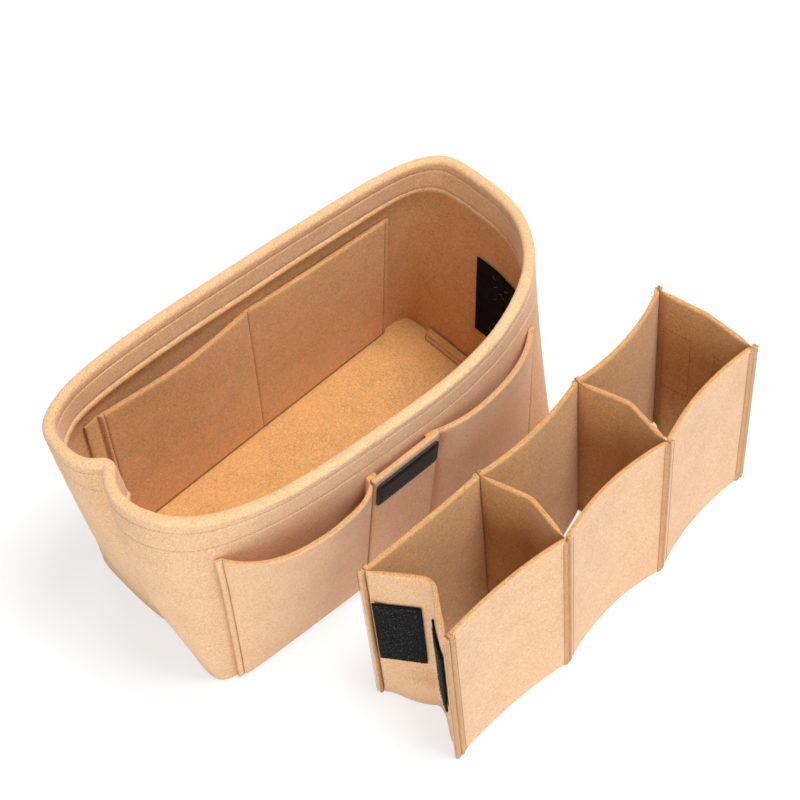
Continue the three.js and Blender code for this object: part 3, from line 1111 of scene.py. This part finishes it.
    def pocket_swell(self, x: float, up: float) -> float:
        """Say how far a front pocket bellies out.

        Args:
            x: Place along the tub.
            up: Share of the pocket's height.

        Returns:
            The distance.
        """
        left = x < self.panel_left
        inner = self.panel_left if left else self.panel_right
        outer = self.left_edge + self.pocket_seam if left else self.right_edge - self.pocket_seam
        belly = self.left_belly if left else self.right_belly
        span = (x - inner) / (outer - inner)
        if span <= 0 or span >= 1:
            return 0.0
        swell = belly * (1 - abs(2 * span - 1) ** self.pocket_fullness) * up
        if not left:
            return swell
        beside = inner - x
        brim = self.left_brim * smooth(0.0, 1.6, beside) * (1 - smooth(3.0, 26.0, beside))
        return swell + brim * smooth(0.0, 0.25, up)

    def front_spot(self, x: float, up: float, out: float) -> Vector:
        """Point off the front wall at an x and a share of the pockets' height."""
        z = lerp(self.pocket_foot, self.pocket_top, up)
        return self.shape.side_point(Side.FRONT, x, z, -out)

    def front_pocket(self, name: str, start: float, end: float, felt: Material) -> Piece:
        """Make a bellied front pocket.

        Args:
            name: Name of the piece.
            start: Its edge under the label panel.
            end: Its own sewn edge.
            felt: Its finish.

        Returns:
            The new object.
        """
        seam = end + math.copysign(self.pocket_seam, start - end)

        def place(along: float, up: float, face: float) -> Vector:
            """Carry the pocket to the front wall."""
            x = lerp(start, end, along)
            strip = 0.6 * smooth(seam, lerp(seam, end, 0.4), x)
            sink = 1.5 * bump_at(x, seam, 0.6) + strip
            out = self.gap + self.pocket_swell(x, up) + (self.felt - sink) * face
            return self.front_spot(x, up, out)

        lines = [abs(seam - start), self.pocket_tuck]
        return Slab(abs(end - start), self.pocket_height, place, lines=lines).build(name, felt)

    def label_panel(self, felt: Material) -> Piece:
        """Make the flat panel between the front pockets, over their tucked edges.

        Args:
            felt: Its finish.

        Returns:
            The new object.
        """

        def place(along: float, up: float, face: float) -> Vector:
            """Carry the panel over the pockets' edges."""
            x = lerp(self.panel_left, self.panel_right, along)
            rise = 1 + lerp(*self.panel_rise, along) / self.pocket_height
            return self.front_spot(x, up * rise, self.felt * (1 + face) + 2 * self.gap)

        slab = Slab(self.panel_right - self.panel_left, self.pocket_height, place)
        return slab.build("label_panel_felt", felt)

    def label(self, leather: Material) -> Piece:
        """Make the padded leather label with rounded corners.

        Args:
            leather: Its finish.

        Returns:
            The new object.
        """
        left, right = self.panel_left + self.label_margin, self.panel_right - self.label_margin
        width, height, corner = right - left, self.label_height, self.label_corner
        stand_off = 2 * self.felt + 3 * self.gap

        def place(along: float, up: float, face: float) -> Vector:
            """Round the corners, pad the face and carry it to the label panel."""
            x, z = (along - 0.5) * width, (up - 0.5) * height
            beyond = (abs(x) - width / 2 + corner, abs(z) - height / 2 + corner)
            over = Vector([max(0.0, part) for part in beyond])
            pull = max(over) / over.length if over.length > 1e-6 else 1.0
            x -= math.copysign(over.x * (1 - pull), x)
            z -= math.copysign(over.y * (1 - pull), z)
            inside = min(width / 2 - abs(x), height / 2 - abs(z))
            crown = 0.45 * smooth(0.8, 3.2, inside) - 0.25 * bump_at(inside, 2.2, 0.5)
            out = stand_off + (self.label_thickness - 0.4 + crown) * face
            level = self.label_top - height / 2 + z + 1 + lerp(*self.panel_rise, along)
            return self.shape.side_point(Side.FRONT, (left + right) / 2 + x, level, -out)

        slab = Slab(width, height, place, cell=0.7, edge=0.8)
        return slab.build("label_leather_patch", leather)

    def loop_patch(self, name: str, end: Side, low: float, tape: Material) -> Piece:
        """Make a strip of brushed loop tape inside one end.

        Args:
            name: Name of the piece.
            end: Side of the tub that it is on.
            low: Its front edge along y.
            tape: Its finish.

        Returns:
            The new object.
        """

        def place(along: float, up: float, face: float) -> Vector:
            """Carry the strip to the end wall, with a fuzzy face."""
            y = lerp(low, low + self.loop_width, along)
            z = self.loop_top - self.loop_length * (1 - up)
            fuzz = 0.25 * noise.noise(Vector((y, z, low)) * 0.9) * face
            return self.shape.side_point(end, y, z, self.tape_depth(face) + fuzz)

        return Slab(self.loop_width, self.loop_length, place, cell=1.0, edge=0.6).build(name, tape)

    def tape_depth(self, face: float) -> float:
        """Depth of the loop tape's back (face 0) or pile (face 1) from the wall's outer face."""
        return self.felt + self.tape_gap + self.tape * face

    def hem_seam(self, thread: Material) -> Piece:
        """Sew two rows through the hem, seen inside and outside, and the joint of its band.

        Args:
            thread: The thread's finish.

        Returns:
            The new object.
        """
        sewn = Seam(radius=0.15)
        for z in self.hem_rows:
            for depth in (0.4, 2 * self.felt - 0.1):
                sewn.run(lambda s, z=z, d=depth: self.hem_spot(FULL * s, z, d), 1500)
        depth = 2 * self.felt + 0.25
        for turn in self.hem_joints:
            sewn.run(lambda s, t=turn: self.hem_spot(t, lerp(*self.hem_joint_span, s), depth), 20)
        return sewn.build("hem_stitching", thread)

    def hem_spot(self, turn: float, z: float, depth: float) -> Vector:
        """Point of the hem that follows the felt's unevenness."""
        return self.shape.wall_point(turn, z, depth + self.wall_relief(turn, z, self.felt))

    def pocket_seams(self, thread: Material) -> Piece:
        """Sew the pockets and the rolled seams on the floor.

        Args:
            thread: The thread's finish.

        Returns:
            The new object.
        """
        sewn = Seam(length=1.9, pitch=2.2, radius=0.22)
        out = self.gap + self.felt - 1.4
        for x in (self.left_edge + self.pocket_seam, self.right_edge - self.pocket_seam):
            sewn.run(lambda s, x=x: self.front_spot(x, s, out))
        for x in self.inner_seams():
            sewn.run(lambda s, x=x: self.inner_spot(x, s, self.felt - 0.6))
        depth = self.felt + 2 * self.gap + self.welt_width * 0.75
        height = self.felt + self.gap + self.welt_height * 0.6
        for end in (0.0, math.pi):
            sewn.run(lambda s, m=end: self.shape.wall_point(self.welt_turn(m, s), height, depth))
        return sewn.build("pocket_stitching", thread)

    def lint(self, hair: Material) -> Piece:
        """Scatter pale hairs over the right end's loop tape.

        Args:
            hair: Their finish.

        Returns:
            The new object.
        """
        picker = random.Random(5)
        strands = Seam(length=0.9, pitch=0.7, radius=0.06)
        for _ in range(self.lint_hairs):
            y = self.loop_centre + picker.uniform(-self.loop_width, self.loop_width * 0.4)
            z = self.loop_top - picker.uniform(4, self.loop_length - 3)
            bend, lean = picker.uniform(-1, 1), picker.uniform(-1, 1)
            reach = picker.uniform(1.5, 4)

            def path(s: float) -> Vector:
                """Arch one hair over the pile."""
                arch = math.sin(math.pi * s)
                level = z + lean * reach * s + bend * arch
                depth = self.tape_depth(1.0) + 0.3 + 0.7 * arch
                return self.shape.side_point(Side.RIGHT, y + reach * s, level, depth)

            strands.run(path, 12)
        return strands.build("loop_lint", hair)

    def build(self, finishes: Finishes) -> None:
        """Make every piece of the tub, dress it and tie it to the frame.

        Args:
            finishes: The finishes to dress it with.
        """
        felt = finishes.tub_felt
        shell = self.shell(felt)
        walls = ("right_end_wall", "back_wall", "left_end_wall", "front_wall", "rim_hem")
        tie(shell, self.body, "tub_felt", *walls)

        floor = self.floor(felt)
        tie(floor, self.body, "tub_felt", "base_panel")

        for name, middle in (("right_floor_welt", 0.0), ("left_floor_welt", math.pi)):
            tie(self.welt(name + "_felt", middle, felt), self.body, "tub_felt", name)

        inner = self.inner_pocket(felt)
        tie(inner, self.body, "tub_felt", "inner_pocket")

        start = self.panel_left + self.pocket_tuck
        left = self.front_pocket("front_pocket_left_felt", start, self.left_edge, felt)
        tie(left, self.body, "tub_felt", "front_pocket_left")
        start = self.panel_right - self.pocket_tuck
        right = self.front_pocket("front_pocket_right_felt", start, self.right_edge, felt)
        tie(right, self.body, "tub_felt", "front_pocket_right")
        panel = self.label_panel(felt)
        tie(panel, self.body, "tub_felt", "label_panel")

        tie(self.label(finishes.leather), self.body, "label_leather", "label_patch")
        lows = {"back": self.loop_centre + self.loop_gap / 2,
                "front": self.loop_centre - self.loop_gap / 2 - self.loop_width}
        for place, low in lows.items():
            for end in (Side.RIGHT, Side.LEFT):
                node = f"{end.name.lower()}_loop_{place}"
                patch = self.loop_patch(node + "_tape", end, low, finishes.loop_tape)
                tie(patch, self.body, "tape", node)
        tie(self.hem_seam(finishes.hem_thread), self.body, "hem_felt")
        tie(self.pocket_seams(finishes.thread), self.body, "tub_felt")
        tie(self.lint(finishes.hair), self.body, "tape")


class PlanLine:
    """Line in plan that a felt sheet follows, measured along its length."""

    def __init__(self, points: Sequence[Vector]) -> None:
        """Measure the line."""
        self.points = list(points)
        self.totals = running(spans(self.points))

    @property
    def length(self) -> float:
        """Length of the line."""
        return self.totals[-1]

    def spot(self, distance: float) -> Vector:
        """Point of the line at a distance along it."""
        index, share = next(walk(self.totals, [min(max(distance, 0.0), self.length)]))
        return self.points[index].lerp(self.points[index + 1], share)

    def beside(self, distance: float, offset: float) -> Vector:
        """Find a point beside the line.

        Args:
            distance: Distance along the line.
            offset: Distance from it, to the left of its direction where positive.

        Returns:
            The point.
        """
        reach = 0.25
        along = (self.spot(distance + reach) - self.spot(distance - reach)).normalized()
        return self.spot(distance) + Vector((-along.y, along.x)) * offset


def curve(start: Vector, corner: Vector, end: Vector, steps: int) -> list[Vector]:
    """Round a corner.

    Args:
        start: Where the rounding starts.
        corner: The corner.
        end: Where the rounding ends.
        steps: Number of points.

    Returns:
        The points after the start.
    """
    shares = [i / steps for i in range(1, steps + 1)]
    return [start.lerp(corner, share).lerp(corner.lerp(end, share), share) for share in shares]


@dataclass
class PanelSkin:
    """Two faces of one cell's panel in plan, point by point from seam to seam.

    Attributes:
        inner: Points of the face inside the cell.
        outer: Points of the face outside, opposite those of the inner one.
    """

    inner: list[Vector]
    outer: list[Vector]

    @property
    def length(self) -> float:
        """Length along the middle of the sheet."""
        return sum(spans([inner.lerp(outer, 0.5) for inner, outer in zip(self.inner, self.outer)]))

    def columns(self) -> list[float]:
        """Shares along the sheet of its points."""
        return [i / (len(self.inner) - 1) for i in range(len(self.inner))]

    def spot(self, share: float, face: float) -> Vector:
        """Point between the faces at one of the columns; face 1 is the outer one."""
        index = round(share * (len(self.inner) - 1))
        return self.inner[index].lerp(self.outer[index], face)


class Row(Enum):
    """Long side of the divider, with the direction of its cells along y."""

    BACK = -1
    FRONT = 1

    @property
    def label(self) -> str:
        """Name of the row in the names of nodes and bodies."""
        return self.name.lower()


@dataclass(frozen=True)
class Divider:
    """Folding divider: two rows of three panels sewn to four creased cross walls."""

    origin: tuple[float, float] = (-63.3, -127.0)
    yaw: float = math.radians(3.9)
    height: float = 115.0
    felt: float = 3.0
    gap: float = 0.3
    cells: int = 3
    cell_length: float = 80.5
    heading: float = math.radians(-0.7)
    turn: float = math.radians(4.2)
    row_gap: tuple[float, float] = (61.0, 68.5)
    back_bows: tuple[float, ...] = (0.5, 4.0, 5.5)
    front_bows: tuple[float, ...] = (3.0, 5.5, 4.5)
    back_foot_bows: tuple[float, ...] = (0.0, 3.0, 5.0)
    panel_wave: float = 0.35
    panel_steps: int = 40
    seam_depth: float = 3.4
    reaches: tuple[float, ...] = (19.0, 7.0, 7.0, 3.0)
    crease_round: tuple[float, ...] = (6.0, 4.0, 3.0, 3.0)
    leaf_steps: int = 12
    crease_steps: int = 10
    front_leaf_bows: tuple[float, ...] = (-0.6, 0.0, 0.0, 0.0)
    back_tail: float = 0.5
    front_tails: tuple[float, ...] = (-0.6, 0.3, 0.9, 0.9)
    wall_names: tuple[str, ...] = ("left_end", "partition_1", "partition_2", "right_end")
    wall_wave: float = 0.3
    seam_thickness: float = 0.2
    seam_reach: float = 8.0
    foot_push: float = 5.0
    left_buckle: tuple[float, float] = (6.0, 44.0)
    left_buckle_tops: tuple[float, float] = (4.0, 22.0)
    left_buckle_fade: float = 6.0
    right_dent: tuple[float, float] = (12.0, 11.0)
    right_dent_top: float = 50.0
    tab_shortfall: float = 0.8
    tape: float = 1.4
    tape_gap: float = 0.4
    hook_length: float = 51.0
    hook_drop: float = 25.0
    hook_crease_margin: float = 7.0
    hook_seam_margins: tuple[float, ...] = (0.8, 0.0, 0.0, 2.4)
    front_margin: float = 2.4
    hooks: int = 480
    stitch_inset: float = 1.4
    stitch_insets: tuple[float, ...] = (5.2, 0.0, 0.0, 2.0)
    selvedge: float = 2.0
    thread_ends: int = 4
    blend_reach: float = 7.0

    def seams(self, row: Row) -> list[Vector]:
        """Outer edges of a row's seams, in the divider's own plan.

        Args:
            row: The long side.

        Returns:
            The edges, from left to right.
        """
        seams = [Vector((0.0, 0.0))]
        for i in range(self.cells):
            angle = self.heading + i * self.turn
            way = Vector((math.cos(angle), math.sin(angle)))
            seams.append(seams[-1] + way * self.cell_length)
        if row is Row.FRONT:
            gaps = [lerp(*self.row_gap, i / self.cells) for i in range(self.cells + 1)]
            seams = [seam - Vector((0.0, gap)) for seam, gap in zip(seams, gaps)]
        return seams

    def world(self, spot: Vector, z: float) -> Vector:
        """Carry a place in the divider's plan to the frame.

        Args:
            spot: The place.
            z: Height.

        Returns:
            The point.
        """
        x = self.origin[0] + spot.x * math.cos(self.yaw) - spot.y * math.sin(self.yaw)
        y = self.origin[1] + spot.x * math.sin(self.yaw) + spot.y * math.cos(self.yaw)
        return Vector((x, y, z))

    def panel_skin(self, row: Row, number: int) -> PanelSkin:
        """Faces of one cell's panel, whose cut edges stand outwards at its two seams.

        Args:
            row: The long side.
            number: Number of the cell.

        Returns:
            The two faces.
        """
        start, end = self.seams(row)[number:number + 2]
        bow = (self.back_bows if row is Row.BACK else self.front_bows)[number]
        length = (end - start).length
        way = (end - start) / length
        near = self.gap / 2
        far = near + self.felt
        outside = self.seam_depth - self.felt

        def at(along: float, depth: float) -> Vector:
            """Place a point from its distance along the cell and its depth into it."""
            swell = bow * (1 - (2 * along / length - 1) ** 2)
            return start + way * along + Vector((0.0, row.value * (depth + swell)))

        corner = [((near, 0.0), (far, 0.0)), ((near, 0.9), (far, 0.2)),
                  ((near + 0.1, 1.9), (far + 0.15, 0.36)),
                  ((near + 0.45, 2.75), (far + 0.55, outside)),
                  ((near + 1.15, 3.25), (far + 1.15, outside))]
        middle = []
        for i in range(self.panel_steps + 1):
            along = lerp(2.6, length - 2.6, i / self.panel_steps)
            lag = self.felt * (math.exp(-along / 5) - math.exp((along - length) / 5))
            middle.append(((along, self.seam_depth), (along + lag, outside)))
        mirrored = [tuple((length - along, depth) for along, depth in pair)
                    for pair in reversed(corner)]
        pairs = corner + middle + mirrored
        return PanelSkin([at(*inner) for inner, _ in pairs], [at(*outer) for _, outer in pairs])

    def wall_corners(self, number: int) -> tuple[Vector, Vector, Vector]:
        """Ends and crease of a cross wall, in the divider's plan.

        Args:
            number: Number of the wall.

        Returns:
            Its back end, its crease and its front end.
        """
        hinge = self.seams(Row.BACK)[number] - Vector((0.0, self.seam_depth))
        chord = lerp(*self.row_gap, number / self.cells) - 2 * self.seam_depth
        crease = hinge + Vector((self.reaches[number], -chord / 2))
        return hinge, crease, hinge - Vector((0.0, chord))

    @lru_cache(maxsize=None)
    def wall_line(self, number: int) -> PlanLine:
        """Middle line of a cross wall, from its back seam over its crease to its front seam.

        Args:
            number: Number of the wall.

        Returns:
            The line.
        """
        hinge, crease, front = self.wall_corners(number)
        back_way = (hinge - crease).normalized()
        front_way = (front - crease).normalized()
        reach, steps = self.crease_round[number], self.leaf_steps
        start, end = crease + back_way * reach, crease + front_way * reach
        across = Vector((-front_way.y, front_way.x)) * self.front_leaf_bows[number]
        line = [hinge + back_way * self.back_tail]
        line += [hinge.lerp(start, i / steps) for i in range(1, steps + 1)]
        line += curve(start, crease, end, self.crease_steps)
        for i in range(1, steps):
            line.append(end.lerp(front, i / steps) + across * math.sin(math.pi * i / steps))
        return PlanLine(line + [front + front_way * self.front_tails[number]])

    def wall_bulge(self, number: int, distance: float, z: float) -> float:
        """Say how far a cross wall stands off its middle line.

        Args:
            number: Number of the wall.
            distance: Distance along its line.
            z: Height.

        Returns:
            The distance, in soft waves and with the feet of the two ends pushed in or out.
        """
        wave = self.wall_wave * noise.noise(Vector((distance * 0.04, z * 0.04, 7.0 * number)))
        if number == self.cells:
            fade = max(0.0, 1 - z / self.right_dent_top) ** 2
            return wave - self.foot_push * bump_at(distance, *self.right_dent) * fade
        if number:
            return wave
        start, end = self.left_buckle
        arch = math.sin(math.pi * min(1.0, max(0.0, (distance - start) / (end - start))))
        top = lerp(*self.left_buckle_tops, arch)
        rise = lerp(0.8, 1.0, z / top) if z < top else bump_at(z, top, self.left_buckle_fade)
        return wave - self.foot_push * rise * arch

    def upright(
        self,
        name: str,
        width: float,
        spot: Place,
        felt: Material,
        lining: tuple[float, float] = (0.0, 0.0),
        columns: Sequence[float] = (),
    ) -> Piece:
        """Make a full-height felt sheet.

        Args:
            name: Name of the piece.
            width: Its length in plan.
            spot: Place in plan of (along, height, face).
            felt: Its finish.
            lining: How much painted shade faces 0 and 1 get, as inside faces.
            columns: Shares along it of its columns, where they are given.

        Returns:
            The new object.
        """

        def place(along: float, up: float, face: float) -> Vector:
            """Carry the sheet to the frame."""
            return self.world(spot(along, up * self.height, face), up * self.height)

        slab = Slab(width, self.height, place, cell=1.7, side_keep=0.8, columns=columns,
                    lining=lining)
        return slab.build(name, felt)

    def panel(self, row: Row, number: int, felt: Material) -> None:
        """Make one cell's panel in a row.

        Args:
            row: The long side.
            number: Number of the cell.
            felt: Its finish.
        """
        node = f"{row.label}_panel_{number + 1}"
        skin = self.panel_skin(row, number)
        seed = Vector((3.0 * number, len(row.label), 0.5))
        slump = self.back_foot_bows[number] if row is Row.BACK else 0.0

        def spot(along: float, z: float, face: float) -> Vector:
            """Wave the panel a little and let its foot sag."""
            window = 1 - abs(2 * along - 1) ** 4
            wave = noise.noise(seed + Vector((along * 2.5, z * 0.03, 0.0))) * window
            sag = slump * (1 - z / self.height) * math.sin(math.pi * along) ** 2
            return skin.spot(along, face) + Vector((0.0, self.panel_wave * wave - sag))

        # The face inside the cell gets painted shade and the outer face gets none.
        piece = self.upright(node + "_felt", skin.length, spot, felt, (1.0, 0.0), skin.columns())
        tie(piece, f"divider_{row.label}", "divider_felt", node)
        flat = (skin.length * MM, self.height * MM)

    def cross_wall(self, number: int, felt: Material) -> None:
        """Make one cross wall, thin at its seams, with a rounded crease in its plan.

        Args:
            number: Number of the wall.
            felt: Its finish.
        """
        name, line = self.wall_names[number], self.wall_line(number)

        def spot(along: float, z: float, face: float) -> Vector:
            """Thin the wall and keep it flat near its seams."""
            distance = along * line.length
            rim = min(distance, line.length - distance)
            thin = lerp(self.seam_thickness, 1.0, smooth(0.0, self.seam_reach, rim))
            bulge = self.wall_bulge(number, distance, z) * smooth(1.0, self.seam_reach + 1.0, rim)
            return line.beside(distance, (face - 0.5) * self.felt * thin + bulge)

        # Painted shade on faces inside the cells, and none on the end walls' outer faces.
        lining = (float(number > 0), float(number < self.cells))
        piece = self.upright(name + "_felt", line.length, spot, felt, lining)
        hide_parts(f"{name}_back_leaf", f"{name}_front_leaf")
        hinge, crease, end = self.wall_corners(number)
        start = self.world(crease + (hinge - crease).normalized() * self.blend_reach, 0.0) * MM
        stop = self.world(crease + (end - crease).normalized() * self.blend_reach, 0.0) * MM
        name + "_back"
        name + "_front"
        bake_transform(piece)
        flat = (line.length * MM, self.height * MM)
        row = f"back_panel_{min(number + 1, self.cells)}_felt"

    def seam_tab(self, number: int, row: Row, felt: Material) -> None:
        """Make an end wall's own flange, beside that of the panel.

        Args:
            number: Number of the wall.
            row: The long side.
            felt: Its finish.
        """
        node = f"{self.wall_names[number]}_{row.label}_tab"
        seam = self.seams(row)[number]
        x = seam.x + (1 if number else -1) * (self.gap + self.felt) / 2
        depth = row.value * (self.seam_depth - self.tab_shortfall)
        line = PlanLine([Vector((x, seam.y)), Vector((x, seam.y + depth))])

        def spot(along: float, _: float, face: float) -> Vector:
            """Give the flange its thickness."""
            return line.beside(along * line.length, (face - 0.5) * self.felt)

        piece = self.upright(node + "_felt", line.length, spot, felt)
        tie(piece, f"divider_{row.label}", "divider_felt", node)

    def tape_margin(self, number: int, row: Row) -> float:
        """Distance of the hook tape from its seam, which is wider at the open front seams."""
        return max(self.hook_seam_margins[number], self.front_margin * (row is Row.FRONT))

    def tape_width(self, number: int, row: Row) -> float:
        """Width of the hook tape on an end wall's leaf."""
        hinge, crease, _ = self.wall_corners(number)
        return (crease - hinge).length - self.tape_margin(number, row) - self.hook_crease_margin

    def tape_spot(self, number: int, row: Row, along: float, up: float, out: float) -> Vector:
        """Find a point over the hook tape of an end wall's leaf.

        Args:
            number: Number of the wall.
            row: The long side that the leaf is sewn to.
            along: Share along the tape, from the back row to the front row.
            up: Share of its height.
            out: Distance from the middle of the felt, outwards from the divider.

        Returns:
            The point.
        """
        line = self.wall_line(number)
        width, margin = self.tape_width(number, row), self.tape_margin(number, row)
        first = self.back_tail + margin
        if row is Row.FRONT:
            first = line.length - self.front_tails[number] - margin - width
        distance = first + along * width
        z = self.height - self.hook_drop - self.hook_length * (1 - up)
        off = self.wall_bulge(number, distance, z) + (out if number else -out)
        return self.world(line.beside(distance, off), z)

    def hook_tape(self, number: int, row: Row, finishes: Finishes) -> None:
        """Make the hook tape outside a leaf, its hooks, and its stitching on the inside.

        Args:
            number: Number of the wall.
            row: The long side that the leaf is sewn to.
            finishes: The finishes to dress it with.
        """
        leaf = f"{self.wall_names[number]}_{row.label}"
        on_front = row is Row.FRONT
        width = self.tape_width(number, row)
        back = self.felt / 2 + self.tape_gap
        pile = back + self.tape

        def place(along: float, up: float, face: float) -> Vector:
            """Carry the tape to the leaf, a little frayed at its foot."""
            fray = 0.008 * noise.noise(Vector((along * 47.0, number, 2.0 * on_front)))
            level = up + fray * (1 - smooth(0.0, 0.02, up))
            return self.tape_spot(number, row, along, level, back + self.tape * face)

        slab = Slab(width, self.hook_length, place, cell=1.0, edge=0.5)
        tape = slab.build(leaf + "_hook_tape", finishes.hook_tape)

        picker = random.Random(11 + 2 * number + on_front)
        hooks = Seam(length=0.9, radius=0.17)
        edge = self.selvedge / width
        for _ in range(self.hooks):
            along, up = picker.uniform(edge, 1 - edge), picker.uniform(0.01, 0.99)
            foot = self.tape_spot(number, row, along, up, pile - 0.1)
            out = self.tape_spot(number, row, along, up, pile + 0.9) - foot
            lean = Vector([picker.uniform(-1, 1) for _ in range(3)])
            hooks.stitch(foot + out * 0.35, (out.normalized() + lean * 0.9).normalized())

        sewn = Seam(length=1.7, pitch=2.4, radius=0.2)
        inside = -(self.felt / 2 + 0.05)
        beside, inset = self.stitch_insets[number], self.stitch_inset
        low, high = (inset, width - beside) if on_front else (beside, width - inset)
        low, high = low / width, high / width
        foot, top = inset / self.hook_length, 1 - inset / self.hook_length
        frame = ((low, foot), (low, top), (high, top), (high, foot), (low, foot))
        for start, end in zip(map(Vector, frame), map(Vector, frame[1:])):

            def path(s: float) -> Vector:
                """Follow one side of the tape's outline."""
                return self.tape_spot(number, row, *start.lerp(end, s), inside)

            sewn.run(path, 12)

        tie(tape, leaf, "tape", leaf + "_hook")
        tie(hooks.build(leaf + "_hooks", finishes.nylon), leaf, "tape")
        tie(sewn.build(leaf + "_tape_stitching", finishes.thread), leaf, "tape")

    def flange_seam(self, row: Row, thread: Material) -> None:
        """Sew beside the cut edges of one row's seams, on both sides of each.

        Args:
            row: The long side.
            thread: The thread's finish.
        """
        sewn = Seam(length=1.7, pitch=2.2, radius=0.22)
        off = self.gap / 2 + self.felt + 0.5
        picker = random.Random(len(row.label))
        for seam in self.seams(row):
            for _ in range(self.thread_ends):
                ways = [picker.uniform(low, 1) for low in (-1, -1, -0.2)]
                shift = Vector((picker.uniform(-2, 2), row.value * picker.uniform(0, 2)))
                tail, foot = Vector(ways), self.world(seam + shift, self.height)
                sewn.stitch(foot + tail * 0.5, tail.normalized())
            for side in (-1, 1):
                spot = seam + Vector((side * off, row.value * 0.4))
                sewn.run(lambda s, p=spot: self.world(p, lerp(1.0, self.height - 1.0, s)), 4)
        piece = sewn.build(f"{row.label}_flange_stitching", thread)
        tie(piece, f"divider_{row.label}", "divider_felt")

    def build(self, finishes: Finishes) -> None:
        """Make every piece of the divider, dress it and tie it to the frame.

        Args:
            finishes: The finishes to dress it with.
        """
        felt = finishes.divider_felt
        for number in range(self.cells):
            for row in Row:
                self.panel(row, number, felt)
        for number in range(self.cells + 1):
            self.cross_wall(number, felt)
        for number in (0, self.cells):
            for row in Row:
                self.seam_tab(number, row, felt)
                self.hook_tape(number, row, finishes)
        for row in Row:
            self.flange_seam(row, finishes.thread)


@dataclass(frozen=True)
class Lamp:
    """Soft square lamp.

    Attributes:
        name: Name of the lamp.
        spot: Its place, in metres.
        size: Length of its side, in metres.
        power: Its power, in watts.
        tone: Colour of its light.
    """

    name: str
    spot: tuple[float, float, float]
    size: float
    power: float
    tone: tuple[float, float, float] = (1.0, 1.0, 1.0)

    def hang(self, target: Sequence[float]) -> None:
        """Hang the lamp.

        Args:
            target: Point that it faces, in metres.
        """
        data = bpy.data.lights.new(self.name, "AREA")
        data.color, data.energy, data.size = self.tone, self.power, self.size
        lamp = bpy.data.objects.new(self.name, data)
        lamp.location = self.spot
        way = Vector(target) - Vector(self.spot)
        lamp.rotation_euler = way.to_track_quat("-Z", "Y").to_euler()
        bpy.context.scene.collection.objects.link(lamp)


@dataclass
class Studio:
    """White floor, soft lamps and the camera of the photograph."""

    eye: tuple[float, float, float] = (-314.74, -534.41, 798.30)
    focal_pixels: float = 1685.36
    yaw: float = math.radians(-35.149)
    pitch: float = math.radians(49.571)
    roll: float = math.radians(-7.064)
    sensor: float = 36.0
    floor_half: float = 6000.0
    floor_drop: float = 0.3
    floor_glow: float = 1.12
    glow_share: float = 0.6
    sky_light: float = 0.08
    target: tuple[float, float, float] = (0.0, -0.05, 0.05)
    lamps: tuple[Lamp, ...] = (
        Lamp("key_lamp", (0.32, -0.5, 1.62), 0.7, 30),
        Lamp("front_lamp", (0.1, -1.2, 1.1), 0.9, 3.6),
        Lamp("fill_lamp", (-1.3, -0.65, 0.4), 0.9, 11, (0.92, 0.97, 1.0)),
        Lamp("back_lamp", (0.6, 1.4, 0.7), 0.9, 8),
    )

    def camera(self) -> None:
        """Set the camera up as in the photograph."""
        data = bpy.data.cameras.new("photo_camera")
        data.sensor_width = self.sensor
        data.lens = self.focal_pixels * self.sensor / PHOTO_PIXELS
        data.clip_start = 0.05
        data.clip_end = 50
        forward = Vector((-math.sin(self.yaw) * math.cos(self.pitch),
                          math.cos(self.yaw) * math.cos(self.pitch), -math.sin(self.pitch)))
        level = Vector((math.cos(self.yaw), math.sin(self.yaw), 0.0))
        upward = level.cross(forward)
        right = math.cos(self.roll) * level + math.sin(self.roll) * upward
        top = -math.sin(self.roll) * level + math.cos(self.roll) * upward
        turn = Matrix((right, top, -forward)).transposed().to_4x4()
        camera = bpy.data.objects.new("photo_camera", data)
        camera.matrix_world = Matrix.Translation(Vector(self.eye) * MM) @ turn
        bpy.context.scene.collection.objects.link(camera)
        bpy.context.scene.camera = camera

    def floor(self) -> None:
        """Lay a white floor that keeps the object's shadow."""
        graph = Graph("studio_white", {"Base Color": (0.9, 0.9, 0.9, 1), "Roughness": 0.9,
                                       "Specular IOR Level": 0.0})
        sockets = {"Color": WHITE, "Strength": self.floor_glow}
        glow = graph.node("ShaderNodeEmission", {}, sockets).outputs[0]
        sockets = {0: self.glow_share * graph.seen(), 1: graph.shader.outputs[0], 2: glow}
        share = graph.node("ShaderNodeMixShader", {}, sockets)
        output = next(n for n in graph.tree.nodes if n.type == "OUTPUT_MATERIAL")
        graph.feed(output.inputs["Surface"], share.outputs[0])
        bm = bmesh.new()
        bmesh.ops.create_grid(bm, x_segments=1, y_segments=1, size=self.floor_half)
        bmesh.ops.translate(bm, vec=(0, 0, -self.floor_drop), verts=bm.verts[:])
        settle(bm, "studio_floor", graph.material)

    def light(self) -> None:
        """Light the scene from high on the right, with fills in front, on the left and behind."""
        world = bpy.data.worlds.new("studio_world")
        bpy.context.scene.world = world
        world.use_nodes = True
        sky = Tree(world.node_tree)
        sky.tree.nodes.clear()
        strength = self.sky_light + (1 - self.sky_light) * sky.seen()
        white = sky.node("ShaderNodeBackground", {}, {"Color": WHITE, "Strength": strength})
        sky.node("ShaderNodeOutputWorld", {}, {"Surface": white.outputs[0]})
        for lamp in self.lamps:
            lamp.hang(self.target)
        bpy.context.scene.view_settings.view_transform = "Standard"


def clear_start_scene() -> None:
    """Remove what a new file holds."""
    for thing in list(bpy.data.objects):
        bpy.data.objects.remove(thing)


def main() -> None:
    """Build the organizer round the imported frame."""
    logging.basicConfig(level=logging.INFO, format="%(name)s: %(message)s")
    clear_start_scene()
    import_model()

    finishes = Finishes.make()
    studio = Studio()
    studio.camera()
    Tub().build(finishes)
    Divider().build(finishes)
    studio.floor()
    studio.light()


if __name__ == "__main__":
    main()
